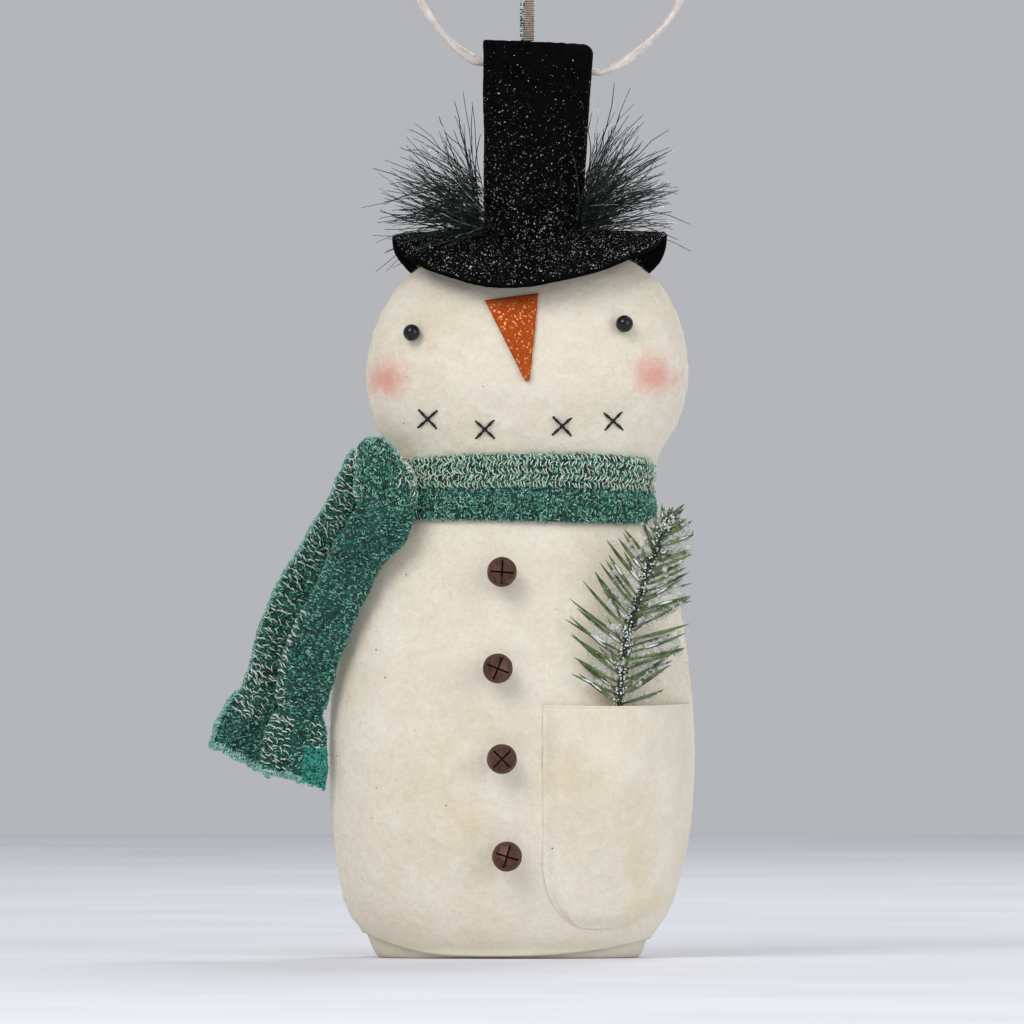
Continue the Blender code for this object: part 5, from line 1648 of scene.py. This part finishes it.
pellet = paint_plain("pellet_steel", (0.30, 0.30, 0.30), (0.52, 0.52, 0.52), 600.0, 0.35, 1.0)
fill = paint_plain("white_fill", (0.70, 0.69, 0.66), (0.86, 0.85, 0.82), 300.0, 0.95, depth=0.5)
plywood = paint_wood("plywood")
tinsel_dark = paint_plain("tinsel_dark", (0.002, 0.003, 0.003), (0.008, 0.013, 0.010), 300.0, 0.45)
tinsel_green = paint_plain("tinsel_green", (0.008, 0.024, 0.015), (0.065, 0.125, 0.085), 400.0, 0.25, 0.4)
tinsel_silver = paint_plain("tinsel_silver", (0.40, 0.46, 0.42), (0.80, 0.84, 0.80), 400.0, 0.22, 0.8)
twig = paint_plain("pine_twig", (0.006, 0.014, 0.006), (0.040, 0.060, 0.028), 700.0, 0.7, depth=0.4)
pine = paint_plain("pine_needle", (0.022, 0.055, 0.014), (0.150, 0.215, 0.060), 210.0, 0.5)
snow = paint_plain("sprig_snow", (0.62, 0.63, 0.60), (0.92, 0.92, 0.90), 500.0, 0.45, depth=0.3,
                   Subsurface_Weight=0.25, Subsurface_Scale=0.002)
ice = paint_ice("sprig_ice")
satin = paint_satin("pale_satin", RIB_PITCH, RIBBON_X - 0.8 * MM)
wound_satin = paint_plain("wound_satin", (0.58, 0.51, 0.46), (0.73, 0.68, 0.65), 300.0, 0.35, depth=0.04)

cad_paints = {"base_board": plywood, "body_stuffing": fill, "weight_bag": fill, "hat_stuffing": fill,
              "garland_wire": tinsel_dark, "hanger_knot": wound_satin}
for number in range(1, 5):
    cad_paints[f"bell_{number}_pellet"] = pellet
    cad_paints[f"bell_{number}_loop"] = rust
for node, paint in cad_paints.items():
    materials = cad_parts[node].data.materials
    materials.clear()
    materials.append(paint)

make_ribbon(satin)
trial = stuff()
front_panel, front_grid, front_out = make_panel("body_front_cloth", -math.pi, 0.0, face_batting, 1.0, trial)
back_panel, back_grid, back_out = make_panel("body_back_cloth", 0.0, math.pi, batting, 2.0, trial)
make_nap("front_nap", front_grid, front_out, batting, 15000, 3)
make_nap("back_nap", back_grid, back_out, batting, 12000, 4)
settle(front_panel, "figure", "batting", "body_front_panel")
settle(back_panel, "figure", "batting", "body_back_panel")
settle(make_base(batting), "figure", "batting", "base_panel")
make_eyes(bead)
make_crosses(thread)
make_nose(orange_felt, gold_flakes)
brim, brim_grid = make_brim(black_felt)
settle(brim, "figure", "black_felt", "hat_brim")
crown, crown_grid = make_crown(black_felt)
settle(crown, "figure", "black_felt", "hat_crown")
scatter_glitter(brim_grid, crown_grid, silver_flakes)
make_garland((tinsel_dark, tinsel_green, tinsel_silver))
make_bells(rust)
make_band(scarf_paints)
make_knot(scarf_paints)
make_tail("outer_tail", OUTER_TAIL, scarf_paints, 91, 0.80, 2.4 * MM,
          ((0.03, 0.76, (-0.90, -0.70, -0.48, -0.26, -0.04)),
           (0.74, 0.88, (-0.8, -0.62, -0.44, -0.26, -0.08, 0.1))),
          ((0.0, 1.0, -1.0, -0.955), (0.982, 1.0, -1.0, 1.0)), NO_PATCH)
make_tail("inner_tail", INNER_TAIL, scarf_paints, 95, 0.77, 1.6 * MM,
          ((0.45, 0.78, (-0.95, -0.84)), (0.80, 0.985, (-0.9, -0.72, -0.54, -0.36, -0.18)),
           (0.80, 0.88, (0.5, 0.75))),
          ((0.985, 1.0, -1.0, 0.3),), (0.885, 0.28))
make_pocket(batting)
make_sprig({"twig": twig, "needle": pine, "snow": snow, "ice": ice})
make_hoop(wound_satin)


FLOOR_RADIUS = 2.4


def make_stage():
    """A pale round floor."""
    turns = full_turn(128)
    points = [(FLOOR_RADIUS * math.cos(a), FLOOR_RADIUS * math.sin(a), 0.0) for a in turns]
    paint = Paint("pale_floor", 0.85)
    grain = paint.noise(6.0, 3.0)
    colour = paint.mix(paint.range(grain, 0.3, 0.7), (0.74, 0.75, 0.79), (0.80, 0.81, 0.85))
    floor = make_piece("floor", points, [list(range(len(points)))], paint.done(colour))


make_stage()
add_light("key", (-0.9, -1.5, 1.5), 1.3, 20.3, (1.0, 0.985, 0.96))
add_light("fill", (1.3, -1.3, 0.7), 1.4, 10.0, (0.96, 0.98, 1.0))
add_light("back", (0.5, 1.3, 1.5), 0.9, 10.6)
world = bpy.data.worlds.new("studio")
bpy.context.scene.world = world
world.use_nodes = True
world.node_tree.nodes["Background"].inputs["Color"].default_value = (0.93, 0.95, 1.0, 1.0)
world.node_tree.nodes["Background"].inputs["Strength"].default_value = 0.49
bpy.context.scene.view_settings.view_transform = "Standard"
